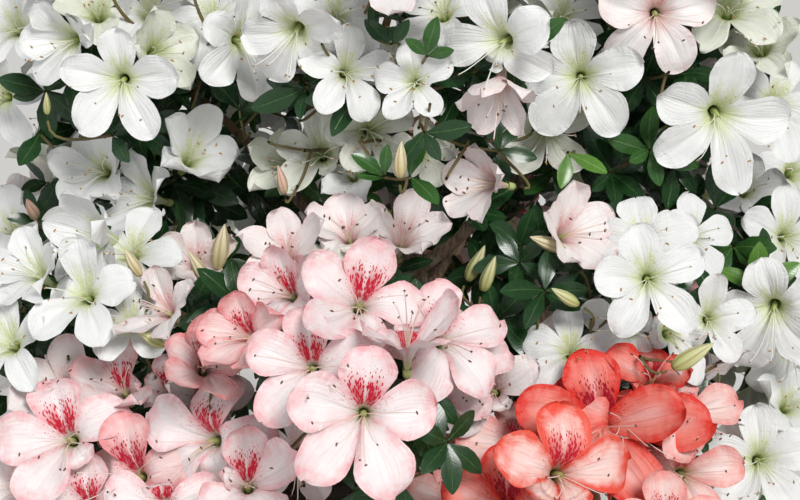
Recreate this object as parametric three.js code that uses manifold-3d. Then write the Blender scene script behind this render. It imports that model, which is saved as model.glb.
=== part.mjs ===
// A potted azalea shrub in full flower, in millimetres, +Z up.
// The origin is the middle of the pot's flat underside, and the shrub's fullest side looks along -Y.
// A short leaning trunk stands on the soil. Boughs rise from it to fourteen masses of foliage and
// blossom in two tiers and a top, and each mass is one stem that branches into twigs by a seeded rule.
import * as THREE from "three";
import { mergeVertices } from "three/addons/utils/BufferGeometryUtils.js";
import Module from "manifold-3d";

const wasm = await Module();
wasm.setup();

// Clearance kept between separate pieces
const GAP = 0.3;

// Corners nearer than the first are one, and the corners of joined solids are rounded to the second
const MERGING = 1e-3;
const ROUNDING = 0.01;

// Pot
const POT_HEIGHT = 182;
const POT_BASE_RADIUS = 104;
const POT_RIM_RADIUS = 146;
const POT_WALL = 9;
const POT_FLOOR = 12;
const LIP_HEIGHT = 26;
const LIP_OUTSET = 7;
const LIP_ROUND = 5;
const BORE_ROUND = 4;
const FOOT_ROUND = 4;
const POT_SIDES = 36;
const DRAIN_RADIUS = 8;
const DRAIN_SIDES = 12;
const DRAIN_CIRCLE_RADIUS = 55;
const DRAIN_COUNT = 3;

// Soil
const SOIL_TOP = 166;
const SOIL_EDGE_DROP = 7;
const SOIL_SHOULDER_RADIUS = 85;
const SOIL_FLAT_RADIUS = 45;

// Trunk
const TRUNK_TOP = 474;
const TRUNK_FOOT_RADIUS = 17;
const TRUNK_TIP_RADIUS = 5.5;
const TRUNK_LEAN = new THREE.Vector2(16, -10);
const TRUNK_TIP_DRIFT = new THREE.Vector2(-3, 14);
const TRUNK_HALF_TURNS = new THREE.Vector2(1.25, 0.8);
const FLARE_SHARE = 0.75;
const FLARE_HEIGHT = 16;
const ROOT_LOBES = 4;
const ROOT_LOBE_SHARE = 0.34;
const TRUNK_TAPER = 0.8;
const TRUNK_SIDES = 12;
const TRUNK_STEPS = 10;

// Boughs
const BOUGH_FOOT_RADIUS = 5.6;
const BOUGH_TIP_RADIUS = 3.8;
const BOUGH_SIDES = 6;
const BOUGH_STEPS = 4;
const BOUGH_SHARE = 0.62;
const BOUGH_SAG = 0.07;
const BALL_STEP = 4;

// Crown
const CROWN_HEART = new THREE.Vector3(0, 0, 380);
const LOWER = {
  tier: "lower",
  sides: ["front", "front_right", "right", "back_right", "back", "back_left", "left", "front_left"],
  turn: -10,
  reach: new THREE.Vector3(222, 198, 0),
  height: 334,
  radii: new THREE.Vector3(104, 100, 92),
  boughFoot: 226,
  boughStagger: 34,
};
const UPPER = {
  tier: "upper",
  sides: ["front", "right", "back_right", "back_left", "left"],
  turn: 0,
  reach: new THREE.Vector3(168, 126, 0),
  height: 500,
  radii: new THREE.Vector3(108, 100, 94),
  boughFoot: 318,
  boughStagger: 28,
};
const TOP_CENTRE = new THREE.Vector3(0, 16, 562);
const TOP_RADII = new THREE.Vector3(112, 100, 78);
const CELL_MARGIN = 0.2;
const BURIED_SHARE = 0.72;
const FIRST_SEED = 401;
const SEED_PER_MASS = 7;
const SEED_PER_ATTEMPT = 1000;
const FIRST_ATTEMPT = { upper_front: 1, upper_left: 4 };
const MOST_ATTEMPTS = 6;
const LOWEST_FOLIAGE = POT_HEIGHT + 14;

// Twigs: three-sided, from a slim foot inside their parent
const STEM_SIDES = 5;
const STEM_STEPS = 2;
const STEM_BEND = 0.4;
const STEM_REACH = 0.72;
const STEM_TIP_RADIUS = 2.6;
const STEM_JOINTS = [0.45, 0.7, 1];
const TWIG_SIDES = 3;
const TWIG_RADII = [0.8, 1.8, 1.5];
const TWIG_BOW = 0.1;
const TWIG_SHORTEST = 8;
const TWIG_ROOM = 2.5;
const TWIG_JOINTS = [0.4, 0.65];
const PATH_COST = 0.3;
const JOINTS_TRIED = 6;
const JOINT_VOLUME = 2.5;
const SHELL_POINTS = 420;
const ORDER_JITTER = 0.25;
const GOLDEN_ANGLE = Math.PI * (3 - Math.sqrt(5));

// Blossoms: a funnel that opens into five lobes, each with two shoulders and a cleft beside it
const BLOOM_RADIUS = 42;
const BLOOM_SMALLEST = 0.92;
const BLOOM_SIZE_SPREAD = 0.16;
const BLOOM_TUBE = 30;
const BLOOM_THROAT = 20;
const LOBES = 5;
const BLOOM_RIM = [
  { share: 0.45, turn: 0, rise: -5 },
  { share: 0.96, turn: -0.14, rise: 0 },
  { share: 0.96, turn: 0.14, rise: 0 },
];
const BLOOM_SPACING = 54;
const BLOOMS_PER_MASS = 11;
const BLOOM_ROOM = 9;
const INWARD_LIMIT = -0.2;
const OUTWARD_PULLS = [0, 0.25, 0.5];
const FACING_OUTWARD = 0.3;
const FACING_UP = 0.25;
const FACING_WANDER = 0.2;

// Leaves: five to a whorl, each with a waist at its foot, two sides and a tip
const LEAF_LENGTH = 38;
const LEAF_SMALLEST = 0.9;
const LEAF_SIZE_SPREAD = 0.25;
const WHORL_TURN_OUT = 0.5;
const LEAVES_PER_WHORL = 5;
const LEAF_RISE = 0.45;
const LEAF_RIM = [
  { share: 0.12, turn: 0, rise: 0.06 },
  { share: 0.6, turn: -0.33, rise: 0.62 },
  { share: 1, turn: 0, rise: 1 },
  { share: 0.6, turn: 0.33, rise: 0.62 },
];
const WHORL_THICKNESS = 2.4;
const WHORLS_PER_MASS = 5;
const WHORL_SPACING = 36;
const WHORL_DEPTHS = [0.88, 0.6];
const WHORL_ROOM = 0.6;
const LEAF_INWARD_LIMIT = -0.5;

const UP = new THREE.Vector3(0, 0, 1);

const colours = {
  pot: new THREE.MeshStandardMaterial({ color: 0x8a5a3c, roughness: 0.85, metalness: 0 }),
  soil: new THREE.MeshStandardMaterial({ color: 0x3b2e22, roughness: 1, metalness: 0 }),
  bark: new THREE.MeshStandardMaterial({ color: 0x6a5242, roughness: 0.9, metalness: 0 }),
  white: new THREE.MeshStandardMaterial({ color: 0xf4f4ee, roughness: 0.6, metalness: 0 }),
  pink: new THREE.MeshStandardMaterial({ color: 0xf3bcb8, roughness: 0.6, metalness: 0 }),
  coral: new THREE.MeshStandardMaterial({ color: 0xe8563f, roughness: 0.6, metalness: 0 }),
};

// Random numbers from 0 to 1 that are the same on every run.
function seeded(seed) {
  let state = seed >>> 0;
  return () => {
    state = (state + 0x6d2b79f5) >>> 0;
    let mixed = state;
    mixed = Math.imul(mixed ^ (mixed >>> 15), mixed | 1);
    mixed ^= mixed + Math.imul(mixed ^ (mixed >>> 7), mixed | 61);
    return ((mixed ^ (mixed >>> 14)) >>> 0) / 4294967296;
  };
}

function wander(random, size) {
  return new THREE.Vector3(random() - 0.5, random() - 0.5, random() - 0.5).multiplyScalar(2 * size);
}

// Solids and meshes
function bareOf(geometry) {
  const bare = geometry.clone();
  bare.deleteAttribute("normal");
  bare.deleteAttribute("uv");
  return bare;
}

function solidOf(geometry) {
  const merged = mergeVertices(bareOf(geometry), MERGING);
  const corners = merged.index.array;
  const faces = [];
  for (let i = 0; i < corners.length; i += 3) {
    const [a, b, c] = corners.subarray(i, i + 3);
    // Corners drawn together leave empty faces behind
    if (a !== b && b !== c && c !== a) faces.push(a, b, c);
  }
  const solid = new wasm.Manifold(
    new wasm.Mesh({
      numProp: 3,
      vertProperties: new Float32Array(merged.attributes.position.array),
      triVerts: new Uint32Array(faces),
    }),
  );
  if (solid.volume() > 0) return solid;
  throw new Error("a solid is inside out");
}

function geometryOf(solid) {
  const mesh = solid.getMesh();
  const places = new Float32Array(mesh.numVert * 3);
  for (let i = 0; i < mesh.numVert; i++) {
    places.set(mesh.vertProperties.subarray(i * mesh.numProp, i * mesh.numProp + 3), i * 3);
  }
  const geometry = new THREE.BufferGeometry();
  geometry.setAttribute("position", new THREE.BufferAttribute(places, 3));
  geometry.setIndex(new THREE.BufferAttribute(new Uint32Array(mesh.triVerts), 1));
  geometry.computeVertexNormals();
  return geometry;
}

function namedMesh(name, solid, material) {
  const mesh = new THREE.Mesh(geometryOf(solid), material);
  mesh.name = name;
  return mesh;
}

// The biggest body of a solid: cuts can leave scraps beside it.
function largestBody(solid) {
  return solid.decompose().reduce((a, b) => (a.volume() > b.volume() ? a : b));
}

// The solid with its corners rounded
function rounded(solid) {
  const geometry = geometryOf(solid);
  const place = geometry.attributes.position.array;
  for (let i = 0; i < place.length; i++) place[i] = Math.round(place[i] / ROUNDING) * ROUNDING;
  return solidOf(geometry);
}

// True where each edge, told by where its ends are, has exactly two faces.
function closes(solid) {
  const merged = mergeVertices(bareOf(geometryOf(solid)), MERGING);
  const corners = merged.index.array;
  const faces = new Map();
  for (let i = 0; i < corners.length; i += 3) {
    for (let k = 0; k < 3; k++) {
      const ends = [corners[i + k], corners[i + ((k + 1) % 3)]];
      const edge = `${Math.min(...ends)} ${Math.max(...ends)}`;
      faces.set(edge, (faces.get(edge) ?? 0) + 1);
    }
  }
  return [...faces.values()].every((count) => count === 2);
}

// A cylinder whose points are moved: placeAt(ring, side) gives each ring's, placeAt(ring) its middle.
function bentCylinder(sides, steps, placeAt) {
  const geometry = new THREE.CylinderGeometry(1, 1, 1, sides, steps);
  const point = geometry.attributes.position;
  for (let i = 0; i < point.count; i++) {
    const x = point.getX(i);
    const z = point.getZ(i);
    const ring = Math.round((point.getY(i) + 0.5) * steps);
    const side = Math.round((Math.atan2(z, x) / (2 * Math.PI)) * sides + sides) % sides;
    const moved = Math.hypot(x, z) < 0.5 ? placeAt(ring) : placeAt(ring, side);
    point.setXYZ(i, moved.x, moved.y, moved.z);
  }
  return geometry;
}

// Two directions square to an axis and to each other
function across(axis) {
  const spare = Math.abs(axis.z) > 0.8 ? new THREE.Vector3(1, 0, 0) : UP;
  const side = new THREE.Vector3().crossVectors(spare, axis).normalize();
  return [side, new THREE.Vector3().crossVectors(axis, side)];
}

function aroundAxis(centre, axis, radius, angle) {
  const [side, other] = across(axis);
  return centre
    .clone()
    .addScaledVector(side, radius * Math.cos(angle))
    .addScaledVector(other, -radius * Math.sin(angle));
}

// A limb along a curve, with radiusAt(share of its length, angle) for its outline.
function limb(curve, radiusAt, sides, steps, flatFoot = false) {
  return solidOf(
    bentCylinder(sides, steps, (ring, side) => {
      const share = ring / steps;
      const centre = curve.getPoint(share);
      if (side === undefined) return centre;
      const angle = (2 * Math.PI * side) / sides;
      const axis = flatFoot && ring === 0 ? UP : curve.getTangent(share);
      return aroundAxis(centre, axis, radiusAt(share, angle), angle);
    }),
  );
}

// Pot and soil
function wallRadius(height) {
  return THREE.MathUtils.lerp(POT_BASE_RADIUS, POT_RIM_RADIUS - LIP_OUTSET, height / POT_HEIGHT);
}

const BORE_TOP_RADIUS = POT_RIM_RADIUS - LIP_OUTSET - POT_WALL;
const BORE_FOOT_RADIUS = wallRadius(POT_FLOOR) - POT_WALL;

function lathe(profile) {
  const points = profile.map(([radius, height]) => new THREE.Vector2(radius, height));
  return solidOf(new THREE.LatheGeometry(points, POT_SIDES).rotateX(Math.PI / 2));
}

function potSolid() {
  const lipFoot = POT_HEIGHT - LIP_HEIGHT;
  let pot = lathe([
    [0, 0],
    [POT_BASE_RADIUS - FOOT_ROUND, 0],
    [POT_BASE_RADIUS, FOOT_ROUND],
    [wallRadius(lipFoot), lipFoot],
    [POT_RIM_RADIUS, lipFoot + LIP_ROUND],
    [POT_RIM_RADIUS, POT_HEIGHT - LIP_ROUND],
    [POT_RIM_RADIUS - LIP_ROUND, POT_HEIGHT],
    [BORE_TOP_RADIUS + BORE_ROUND, POT_HEIGHT],
    [BORE_TOP_RADIUS, POT_HEIGHT - BORE_ROUND],
    [BORE_FOOT_RADIUS, POT_FLOOR],
    [0, POT_FLOOR],
  ]);
  for (let k = 0; k < DRAIN_COUNT; k++) {
    const turn = (2 * Math.PI * k) / DRAIN_COUNT;
    const hole = new THREE.CylinderGeometry(DRAIN_RADIUS, DRAIN_RADIUS, 3 * POT_FLOOR, DRAIN_SIDES);
    hole.rotateX(Math.PI / 2);
    hole.translate(DRAIN_CIRCLE_RADIUS * Math.cos(turn), DRAIN_CIRCLE_RADIUS * Math.sin(turn), 0);
    pot = pot.subtract(solidOf(hole));
  }
  return pot;
}

// The radius of the pot's bore at a height, less the clearance
function soilRadius(height) {
  const share = (height - POT_FLOOR) / (POT_HEIGHT - BORE_ROUND - POT_FLOOR);
  return THREE.MathUtils.lerp(BORE_FOOT_RADIUS, BORE_TOP_RADIUS, share) - 2 * GAP;
}

// Soil fills the pot and crowns gently towards the trunk.
function soilSolid() {
  const foot = POT_FLOOR + GAP;
  const edge = SOIL_TOP - SOIL_EDGE_DROP;
  return lathe([
    [0, foot],
    [soilRadius(foot), foot],
    [soilRadius(edge), edge],
    [SOIL_SHOULDER_RADIUS, SOIL_TOP - SOIL_EDGE_DROP / 4],
    [SOIL_FLAT_RADIUS, SOIL_TOP],
    [0, SOIL_TOP],
  ]);
}

// Trunk: leans one way from the foot and back again towards the tip.
class TrunkCurve extends THREE.Curve {
  getPoint(share, target = new THREE.Vector3()) {
    return target.set(
      TRUNK_LEAN.x * Math.sin(share * Math.PI * TRUNK_HALF_TURNS.x) + TRUNK_TIP_DRIFT.x * share,
      TRUNK_LEAN.y * Math.sin(share * Math.PI * TRUNK_HALF_TURNS.y) + TRUNK_TIP_DRIFT.y * share * share,
      THREE.MathUtils.lerp(SOIL_TOP + GAP, TRUNK_TOP, share),
    );
  }
}

const trunkCurve = new TrunkCurve();

function trunkRadius(share, angle = 0, extra = 0) {
  const height = share * (TRUNK_TOP - SOIL_TOP);
  const flare = FLARE_SHARE * Math.exp(-height / FLARE_HEIGHT);
  const lobes = 1 + flare * ROOT_LOBE_SHARE * Math.cos(ROOT_LOBES * angle);
  const straight = THREE.MathUtils.lerp(TRUNK_FOOT_RADIUS, TRUNK_TIP_RADIUS, Math.pow(share, TRUNK_TAPER));
  return straight * (1 + flare) * lobes + extra;
}

function trunkSolid(extra = 0) {
  return limb(trunkCurve, (share, angle) => trunkRadius(share, angle, extra), TRUNK_SIDES, TRUNK_STEPS, true);
}

// Masses: where each one sits, and which limb carries it
function massesOf(tier) {
  return tier.sides.map((side, index) => {
    const turn = THREE.MathUtils.degToRad(tier.turn + (360 * index) / tier.sides.length);
    const place = [tier.reach.x * Math.sin(turn), -tier.reach.y * Math.cos(turn), tier.height];
    return {
      name: `${tier.tier}_${side}`,
      centre: new THREE.Vector3(...place),
      radii: tier.radii,
      footHeight: tier.boughFoot + (index % 2) * tier.boughStagger,
    };
  });
}

const masses = [
  ...massesOf(LOWER),
  ...massesOf(UPPER),
  { name: "top", centre: TOP_CENTRE, radii: TOP_RADII, footHeight: TRUNK_TOP },
];
const pinkMasses = ["lower_front", "lower_front_left", "lower_back"];
const coralMasses = ["lower_front_right"];

function colourOf(mass) {
  if (pinkMasses.includes(mass.name)) return colours.pink;
  return coralMasses.includes(mass.name) ? colours.coral : colours.white;
}

function boughCurve(mass) {
  const foot = trunkCurve.getPoint((mass.footHeight - SOIL_TOP) / (TRUNK_TOP - SOIL_TOP));
  const tip = foot.clone().lerp(mass.centre, BOUGH_SHARE);
  const bend = foot.clone().lerp(tip, 0.5);
  bend.z -= BOUGH_SAG * foot.distanceTo(tip);
  return new THREE.QuadraticBezierCurve3(foot, bend, tip);
}

function boughRadius(share) {
  return THREE.MathUtils.lerp(BOUGH_FOOT_RADIUS, BOUGH_TIP_RADIUS, share);
}

function boughSolid(curve, extra = 0) {
  return limb(curve, (share) => boughRadius(share) + extra, BOUGH_SIDES, BOUGH_STEPS);
}

// The space of a mass: nearer to its own centre than to any other, by the margin.
function fits(mass, points, margin = CELL_MARGIN) {
  return points.every((point) =>
    point.z > LOWEST_FOLIAGE &&
    masses.every((other) => {
      if (other === mass) return true;
      const away = other.centre.clone().sub(mass.centre);
      const middle = mass.centre.clone().add(other.centre).multiplyScalar(0.5);
      return point.clone().sub(middle).dot(away.normalize()) < -margin;
    }));
}

// Limbs as chains of balls, to keep twigs and leaves off them
function ballsAlong(curve, radiusAt) {
  const count = Math.ceil(curve.getLength() / BALL_STEP);
  return Array.from({ length: count + 1 }, (_, i) => ({
    centre: curve.getPoint(i / count),
    radius: radiusAt(i / count),
  }));
}

function clearOf(balls, from, to, room) {
  const line = new THREE.Line3(from, to);
  const nearest = new THREE.Vector3();
  return balls.every(({ centre, radius }) => {
    line.closestPointToPoint(centre, true, nearest);
    return nearest.distanceTo(centre) > radius + room;
  });
}

// Evenly scattered directions over a sphere
function shellDirections(random) {
  const spin = 2 * Math.PI * random();
  return Array.from({ length: SHELL_POINTS }, (_, i) => {
    const height = 1 - (2 * i + 1) / SHELL_POINTS;
    const width = Math.sqrt(1 - height * height);
    const turn = spin + i * GOLDEN_ANGLE;
    return new THREE.Vector3(width * Math.cos(turn), width * Math.sin(turn), height);
  });
}

function onShell(mass, direction, share) {
  return mass.centre.clone().add(direction.clone().multiply(mass.radii).multiplyScalar(share));
}

function insideAnother(mass, point) {
  return masses.some((other) => {
    if (other === mass) return false;
    return point.clone().sub(other.centre).divide(other.radii).length() < BURIED_SHARE;
  });
}

// A shoot: a three-sided twig along a curve that opens at its tip into a rim of lobes or leaves.
// The rim is a list of points for one lobe, and repeats round the facing direction.
function shootGeometry(curve, facing, roll, rim, repeats, rimPoint, middle) {
  const sides = rim.length * repeats;
  const steps = TWIG_RADII.length;
  return bentCylinder(sides, steps, (ring, side) => {
    if (ring === steps) {
      if (side === undefined) return middle;
      const { share, turn, rise } = rim[side % rim.length];
      const lobe = (2 * Math.PI * (side - (side % rim.length))) / sides;
      const own = ((side % rim.length) * 2 * Math.PI) / sides;
      return rimPoint(facing, roll + lobe + own + turn, share, rise);
    }
    const centre = curve.getPoint(ring / (steps - 1));
    if (side === undefined) return centre;
    // Neighbouring points draw together into the twig's corners
    const corner = Math.floor((side * TWIG_SIDES) / sides);
    const angle = roll + (2 * Math.PI * (corner + 0.5)) / TWIG_SIDES;
    const axis = ring === steps - 1 ? facing : curve.getTangent(ring / (steps - 1));
    return aroundAxis(centre, axis, TWIG_RADII[ring], angle);
  });
}

function bloomShoot(curve, place, facing, roll, size) {
  const rimPoint = (axis, angle, share, rise) =>
    aroundAxis(place, axis, size * share, angle).addScaledVector(axis, rise);
  const throat = place.clone().addScaledVector(facing, -BLOOM_THROAT);
  return shootGeometry(curve, facing, roll, BLOOM_RIM, LOBES, rimPoint, throat);
}

function whorlShoot(curve, place, facing, roll, size) {
  const rimPoint = (axis, angle, share, rise) =>
    aroundAxis(place, axis, size * share, angle).addScaledVector(axis, size * LEAF_RISE * rise);
  const top = place.clone().addScaledVector(facing, WHORL_THICKNESS);
  return shootGeometry(curve, facing, roll, LEAF_RIM, LEAVES_PER_WHORL, rimPoint, top);
}

function cornersOf(geometry) {
  const point = geometry.attributes.position;
  return Array.from({ length: point.count }, (_, i) => new THREE.Vector3().fromBufferAttribute(point, i));
}

// One mass: a stem from its bough's tip, twigs to each blossom and each whorl of leaves.
function growMass(mass, seed, bough, balls) {
  const random = seeded(seed);
  const start = bough.getPoint(1).addScaledVector(bough.getTangent(1), GAP);
  const heart = start.clone().lerp(mass.centre, STEM_REACH);
  const outward = mass.centre.clone().sub(CROWN_HEART).normalize();
  const stemRadius = (share) => THREE.MathUtils.lerp(BOUGH_TIP_RADIUS, STEM_TIP_RADIUS, share);
  const bend = start.clone().addScaledVector(bough.getTangent(1), STEM_BEND * start.distanceTo(heart));
  const stem = new THREE.QuadraticBezierCurve3(start, bend, heart);
  const solids = [limb(stem, stemRadius, STEM_SIDES, STEM_STEPS)];
  const joints = STEM_JOINTS.map((share) => ({ point: stem.getPoint(share), path: 0 }));

  // The cheapest way from a joint to a twig's end that keeps to the space and off the limbs
  function twigTo(end) {
    const ranked = [...joints].sort(
      (a, b) => a.point.distanceTo(end) + PATH_COST * a.path - b.point.distanceTo(end) - PATH_COST * b.path);
    for (const joint of ranked.slice(0, JOINTS_TRIED)) {
      const length = joint.point.distanceTo(end);
      if (length < TWIG_SHORTEST) continue;
      const middle = joint.point.clone().lerp(end, 0.5).add(wander(random, TWIG_BOW * length));
      if (!fits(mass, [middle, joint.point, end], TWIG_ROOM)) continue;
      if (!clearOf(balls, joint.point, middle, TWIG_ROOM)) continue;
      if (!clearOf(balls, middle, end, TWIG_ROOM)) continue;
      const curve = new THREE.QuadraticBezierCurve3(joint.point, middle, end);
      return { curve, path: joint.path + length };
    }
    return null;
  }

  // A shoot is kept if it meets the ones before it at its own foot and nowhere else
  function keep(twig, geometry) {
    const shoot = solidOf(geometry);
    if (solids.some((other) => other.intersect(shoot).volume() > JOINT_VOLUME)) return false;
    solids.push(shoot);
    for (const share of TWIG_JOINTS) {
      joints.push({ point: twig.curve.getPoint(share), path: share * twig.path });
    }
    return true;
  }

  // Blossoms are packed from the middle of the outer side towards its edges
  const directions = shellDirections(random)
    .map((direction) => ({ direction, order: ORDER_JITTER * random() - direction.dot(outward) }))
    .sort((a, b) => a.order - b.order)
    .map(({ direction }) => direction);
  const blooms = [];
  for (const direction of directions) {
    if (blooms.length >= BLOOMS_PER_MASS) break;
    if (direction.dot(outward) < INWARD_LIMIT) continue;
    for (const pull of OUTWARD_PULLS) {
      const towards = direction.clone().addScaledVector(outward, pull).normalize();
      const place = onShell(mass, towards, 1);
      if (insideAnother(mass, place)) continue;
      if (blooms.some((other) => other.distanceTo(place) < BLOOM_SPACING)) continue;
      const facing = towards.clone().divide(mass.radii).normalize();
      facing.addScaledVector(outward, FACING_OUTWARD).addScaledVector(UP, FACING_UP);
      facing.add(wander(random, FACING_WANDER)).normalize();
      const size = BLOOM_RADIUS * (BLOOM_SMALLEST + BLOOM_SIZE_SPREAD * random());
      const foot = place.clone().addScaledVector(facing, -BLOOM_TUBE);
      const twig = twigTo(foot);
      if (!twig) continue;
      const geometry = bloomShoot(twig.curve, place, facing, 2 * Math.PI * random(), size);
      if (!fits(mass, cornersOf(geometry)) || !clearOf(balls, place, foot, BLOOM_ROOM)) continue;
      if (!keep(twig, geometry)) continue;
      blooms.push(place);
      break;
    }
  }

  // Whorls fill in between them, and then further inside
  const whorls = [];
  const openings = WHORL_DEPTHS.flatMap((depth) => directions.map((direction) => ({ direction, depth })));
  for (const { direction, depth } of openings) {
    if (whorls.length >= WHORLS_PER_MASS) break;
    const place = onShell(mass, direction, depth);
    if (direction.dot(outward) < LEAF_INWARD_LIMIT || insideAnother(mass, place)) continue;
    if ([...blooms, ...whorls].some((other) => other.distanceTo(place) < WHORL_SPACING)) continue;
    const twig = twigTo(place);
    if (!twig) continue;
    const facing = twig.curve.getTangent(1).lerp(direction, WHORL_TURN_OUT).normalize();
    const size = LEAF_LENGTH * (LEAF_SMALLEST + LEAF_SIZE_SPREAD * random());
    const geometry = whorlShoot(twig.curve, place, facing, 2 * Math.PI * random(), size);
    if (!fits(mass, cornersOf(geometry)) || !clearOf(balls, place, place, size * WHORL_ROOM)) continue;
    if (keep(twig, geometry)) whorls.push(place);
  }
  return wasm.Manifold.union(solids);
}

// The whole plant
const shrub = new THREE.Group();
shrub.add(namedMesh("pot", potSolid(), colours.pot));
shrub.add(namedMesh("soil", soilSolid(), colours.soil));
shrub.add(namedMesh("trunk", trunkSolid(), colours.bark));

const boughs = masses.map((mass) => (mass.name === "top" ? null : boughCurve(mass)));
const widerTrunk = trunkSolid(GAP);
const limbBalls = ballsAlong(trunkCurve, (share) => trunkRadius(share));
const widerLimbs = [widerTrunk];
boughs.forEach((curve, index) => {
  if (!curve) return;
  const solid = largestBody(boughSolid(curve).subtract(widerTrunk));
  shrub.add(namedMesh(`bough_${masses[index].name}`, solid, colours.bark));
  widerLimbs.push(boughSolid(curve, GAP));
  limbBalls.push(...ballsAlong(curve, boughRadius));
});
const limbsToClear = wasm.Manifold.union(widerLimbs);

// A mass whose joins don't close is grown again from another seed.
function foliageSolid(mass, index) {
  const carrier = boughs[index] ?? trunkCurve;
  for (let attempt = FIRST_ATTEMPT[mass.name] ?? 0; attempt < MOST_ATTEMPTS; attempt++) {
    const seed = FIRST_SEED + SEED_PER_MASS * index + SEED_PER_ATTEMPT * attempt;
    const grown = growMass(mass, seed, carrier, limbBalls);
    const solid = rounded(largestBody(grown.subtract(limbsToClear)));
    if (closes(solid)) return solid;
  }
  throw new Error(`${mass.name} doesn't close`);
}

masses.forEach((mass, index) => {
  shrub.add(namedMesh(`foliage_${mass.name}`, foliageSolid(mass, index), colourOf(mass)));
});

export default shrub;
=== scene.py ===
"""A potted azalea shrub in full flower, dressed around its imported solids. Sizes are in millimetres."""

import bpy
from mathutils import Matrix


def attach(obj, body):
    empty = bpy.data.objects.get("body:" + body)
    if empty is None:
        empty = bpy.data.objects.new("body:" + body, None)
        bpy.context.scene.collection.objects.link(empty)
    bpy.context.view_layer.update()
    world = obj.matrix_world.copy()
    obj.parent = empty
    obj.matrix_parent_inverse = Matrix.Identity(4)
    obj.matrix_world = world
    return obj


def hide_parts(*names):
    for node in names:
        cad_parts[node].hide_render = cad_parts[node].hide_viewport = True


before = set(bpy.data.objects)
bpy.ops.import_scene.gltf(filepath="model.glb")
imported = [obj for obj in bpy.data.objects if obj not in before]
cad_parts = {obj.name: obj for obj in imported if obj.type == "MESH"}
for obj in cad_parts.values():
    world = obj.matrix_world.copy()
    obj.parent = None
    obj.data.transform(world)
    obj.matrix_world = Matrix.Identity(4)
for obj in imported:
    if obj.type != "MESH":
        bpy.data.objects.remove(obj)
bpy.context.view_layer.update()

import functools
import math
from collections import namedtuple

import bpy
import numpy as np
from bpy.props import FloatProperty, FloatVectorProperty, IntProperty, PointerProperty
from mathutils import Vector, noise

bl_info = {
    "name": "Potted azalea",
    "version": (1, 0, 0),
    "blender": (4, 5, 0),
    "location": "View3D > Sidebar > Azalea",
    "description": "Builds a flowering azalea shrub in a clay pot",
    "category": "Add Mesh",
}

MM = 0.001
ROOT = "root"
UP = np.array([0.0, 0.0, 1.0])
GOLDEN_ANGLE = math.pi * (3 - math.sqrt(5))
MAP_MARGIN = 0.02
FOLIAGE_NODES = sorted(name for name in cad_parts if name.startswith("foliage_"))
BOUGH_NODES = sorted(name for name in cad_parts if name.startswith("bough_"))

# Pot and soil
POT_HEIGHT = 182
POT_BASE_RADIUS = 104
POT_RIM_RADIUS = 146
POT_WALL = 9
POT_FLOOR = 12
LIP_HEIGHT = 26
LIP_OUTSET = 7
LIP_ROUND = 5
BORE_ROUND = 4
FOOT_ROUND = 4
DRAIN_RADIUS = 8
DRAIN_CIRCLE_RADIUS = 55
DRAIN_COUNT = 3
SOIL_TOP = 166
SOIL_EDGE_DROP = 7
SOIL_RADIUS = 125

# Trunk and boughs
GAP = 0.3
TRUNK_TOP = 474
TRUNK_FOOT_RADIUS = 17
TRUNK_TIP_RADIUS = 5.5
TRUNK_LEAN = (16, -10)
TRUNK_TIP_DRIFT = (-3, 14)
TRUNK_HALF_TURNS = (1.25, 0.8)
FLARE_SHARE = 0.75
FLARE_HEIGHT = 16
ROOT_LOBES = 4
ROOT_LOBE_SHARE = 0.34
TRUNK_TAPER = 0.8
BOUGH_FOOT_RADIUS = 5.6
BOUGH_TIP_RADIUS = 3.8
BOUGH_SHARE = 0.62
BOUGH_SAG = 0.07

# Crown: the same masses as the solids
CROWN_HEART = np.array([0.0, 0.0, 380.0])
LOWER_SIDES = ("front", "front_right", "right", "back_right", "back", "back_left", "left", "front_left")
UPPER_SIDES = ("front", "right", "back_right", "back_left", "left")
LOWEST_FOLIAGE = POT_HEIGHT + 14
BURIED_SHARE = 0.72
PATH_COST = 0.3
STEM_BEND = 0.4
STEM_REACH = 0.72
STEM_TIP_RADIUS = 2.6
STEM_JOINTS = (0.45, 0.7, 1)
TWIG_JOINTS = (0.35, 0.6, 0.8)
TWIG_SHORTEST = 8

Mass = namedtuple("Mass", "name centre radii foot")


def tier(name, sides, turn, reach, height, radii, foot, stagger):
    """The masses of one tier, evenly round the crown."""
    found = []
    for index, side in enumerate(sides):
        angle = math.radians(turn + 360 * index / len(sides))
        centre = np.array([reach[0] * math.sin(angle), -reach[1] * math.cos(angle), height])
        found.append(Mass(f"{name}_{side}", centre, np.array(radii, float), foot + index % 2 * stagger))
    return found


MASSES = (
    tier("lower", LOWER_SIDES, -10, (222, 198), 334, (104, 100, 92), 226, 34)
    + tier("upper", UPPER_SIDES, 0, (168, 126), 500, (108, 100, 94), 318, 28)
    + [Mass("top", np.array([0.0, 16.0, 562.0]), np.array([112.0, 100.0, 78.0]), TRUNK_TOP)]
)
CENTRES = np.array([mass.centre for mass in MASSES])
RADII = np.array([mass.radii for mass in MASSES])

# The photograph's view: its size in pixels, and the camera that stands for it
PHOTO_WIDTH = 800
PHOTO_HEIGHT = 500
LENS = 100
SENSOR = 36
VIEW_ELEVATION = math.radians(13)
VIEW_DISTANCE = 1305
VIEW_AIM = np.array([0.0, -262.0, 422.0])
VIEW_TOWARDS = np.array([0.0, -math.cos(VIEW_ELEVATION), math.sin(VIEW_ELEVATION)])
VIEW_UP = np.array([0.0, math.sin(VIEW_ELEVATION), math.cos(VIEW_ELEVATION)])
VIEW_RIGHT = np.array([1.0, 0.0, 0.0])
VIEW_PLACE = VIEW_AIM + VIEW_DISTANCE * VIEW_TOWARDS
PIXEL = SENSOR / LENS / PHOTO_WIDTH
SEEN_DEPTH = 50
LIFT_SHARE = 0.85

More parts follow.
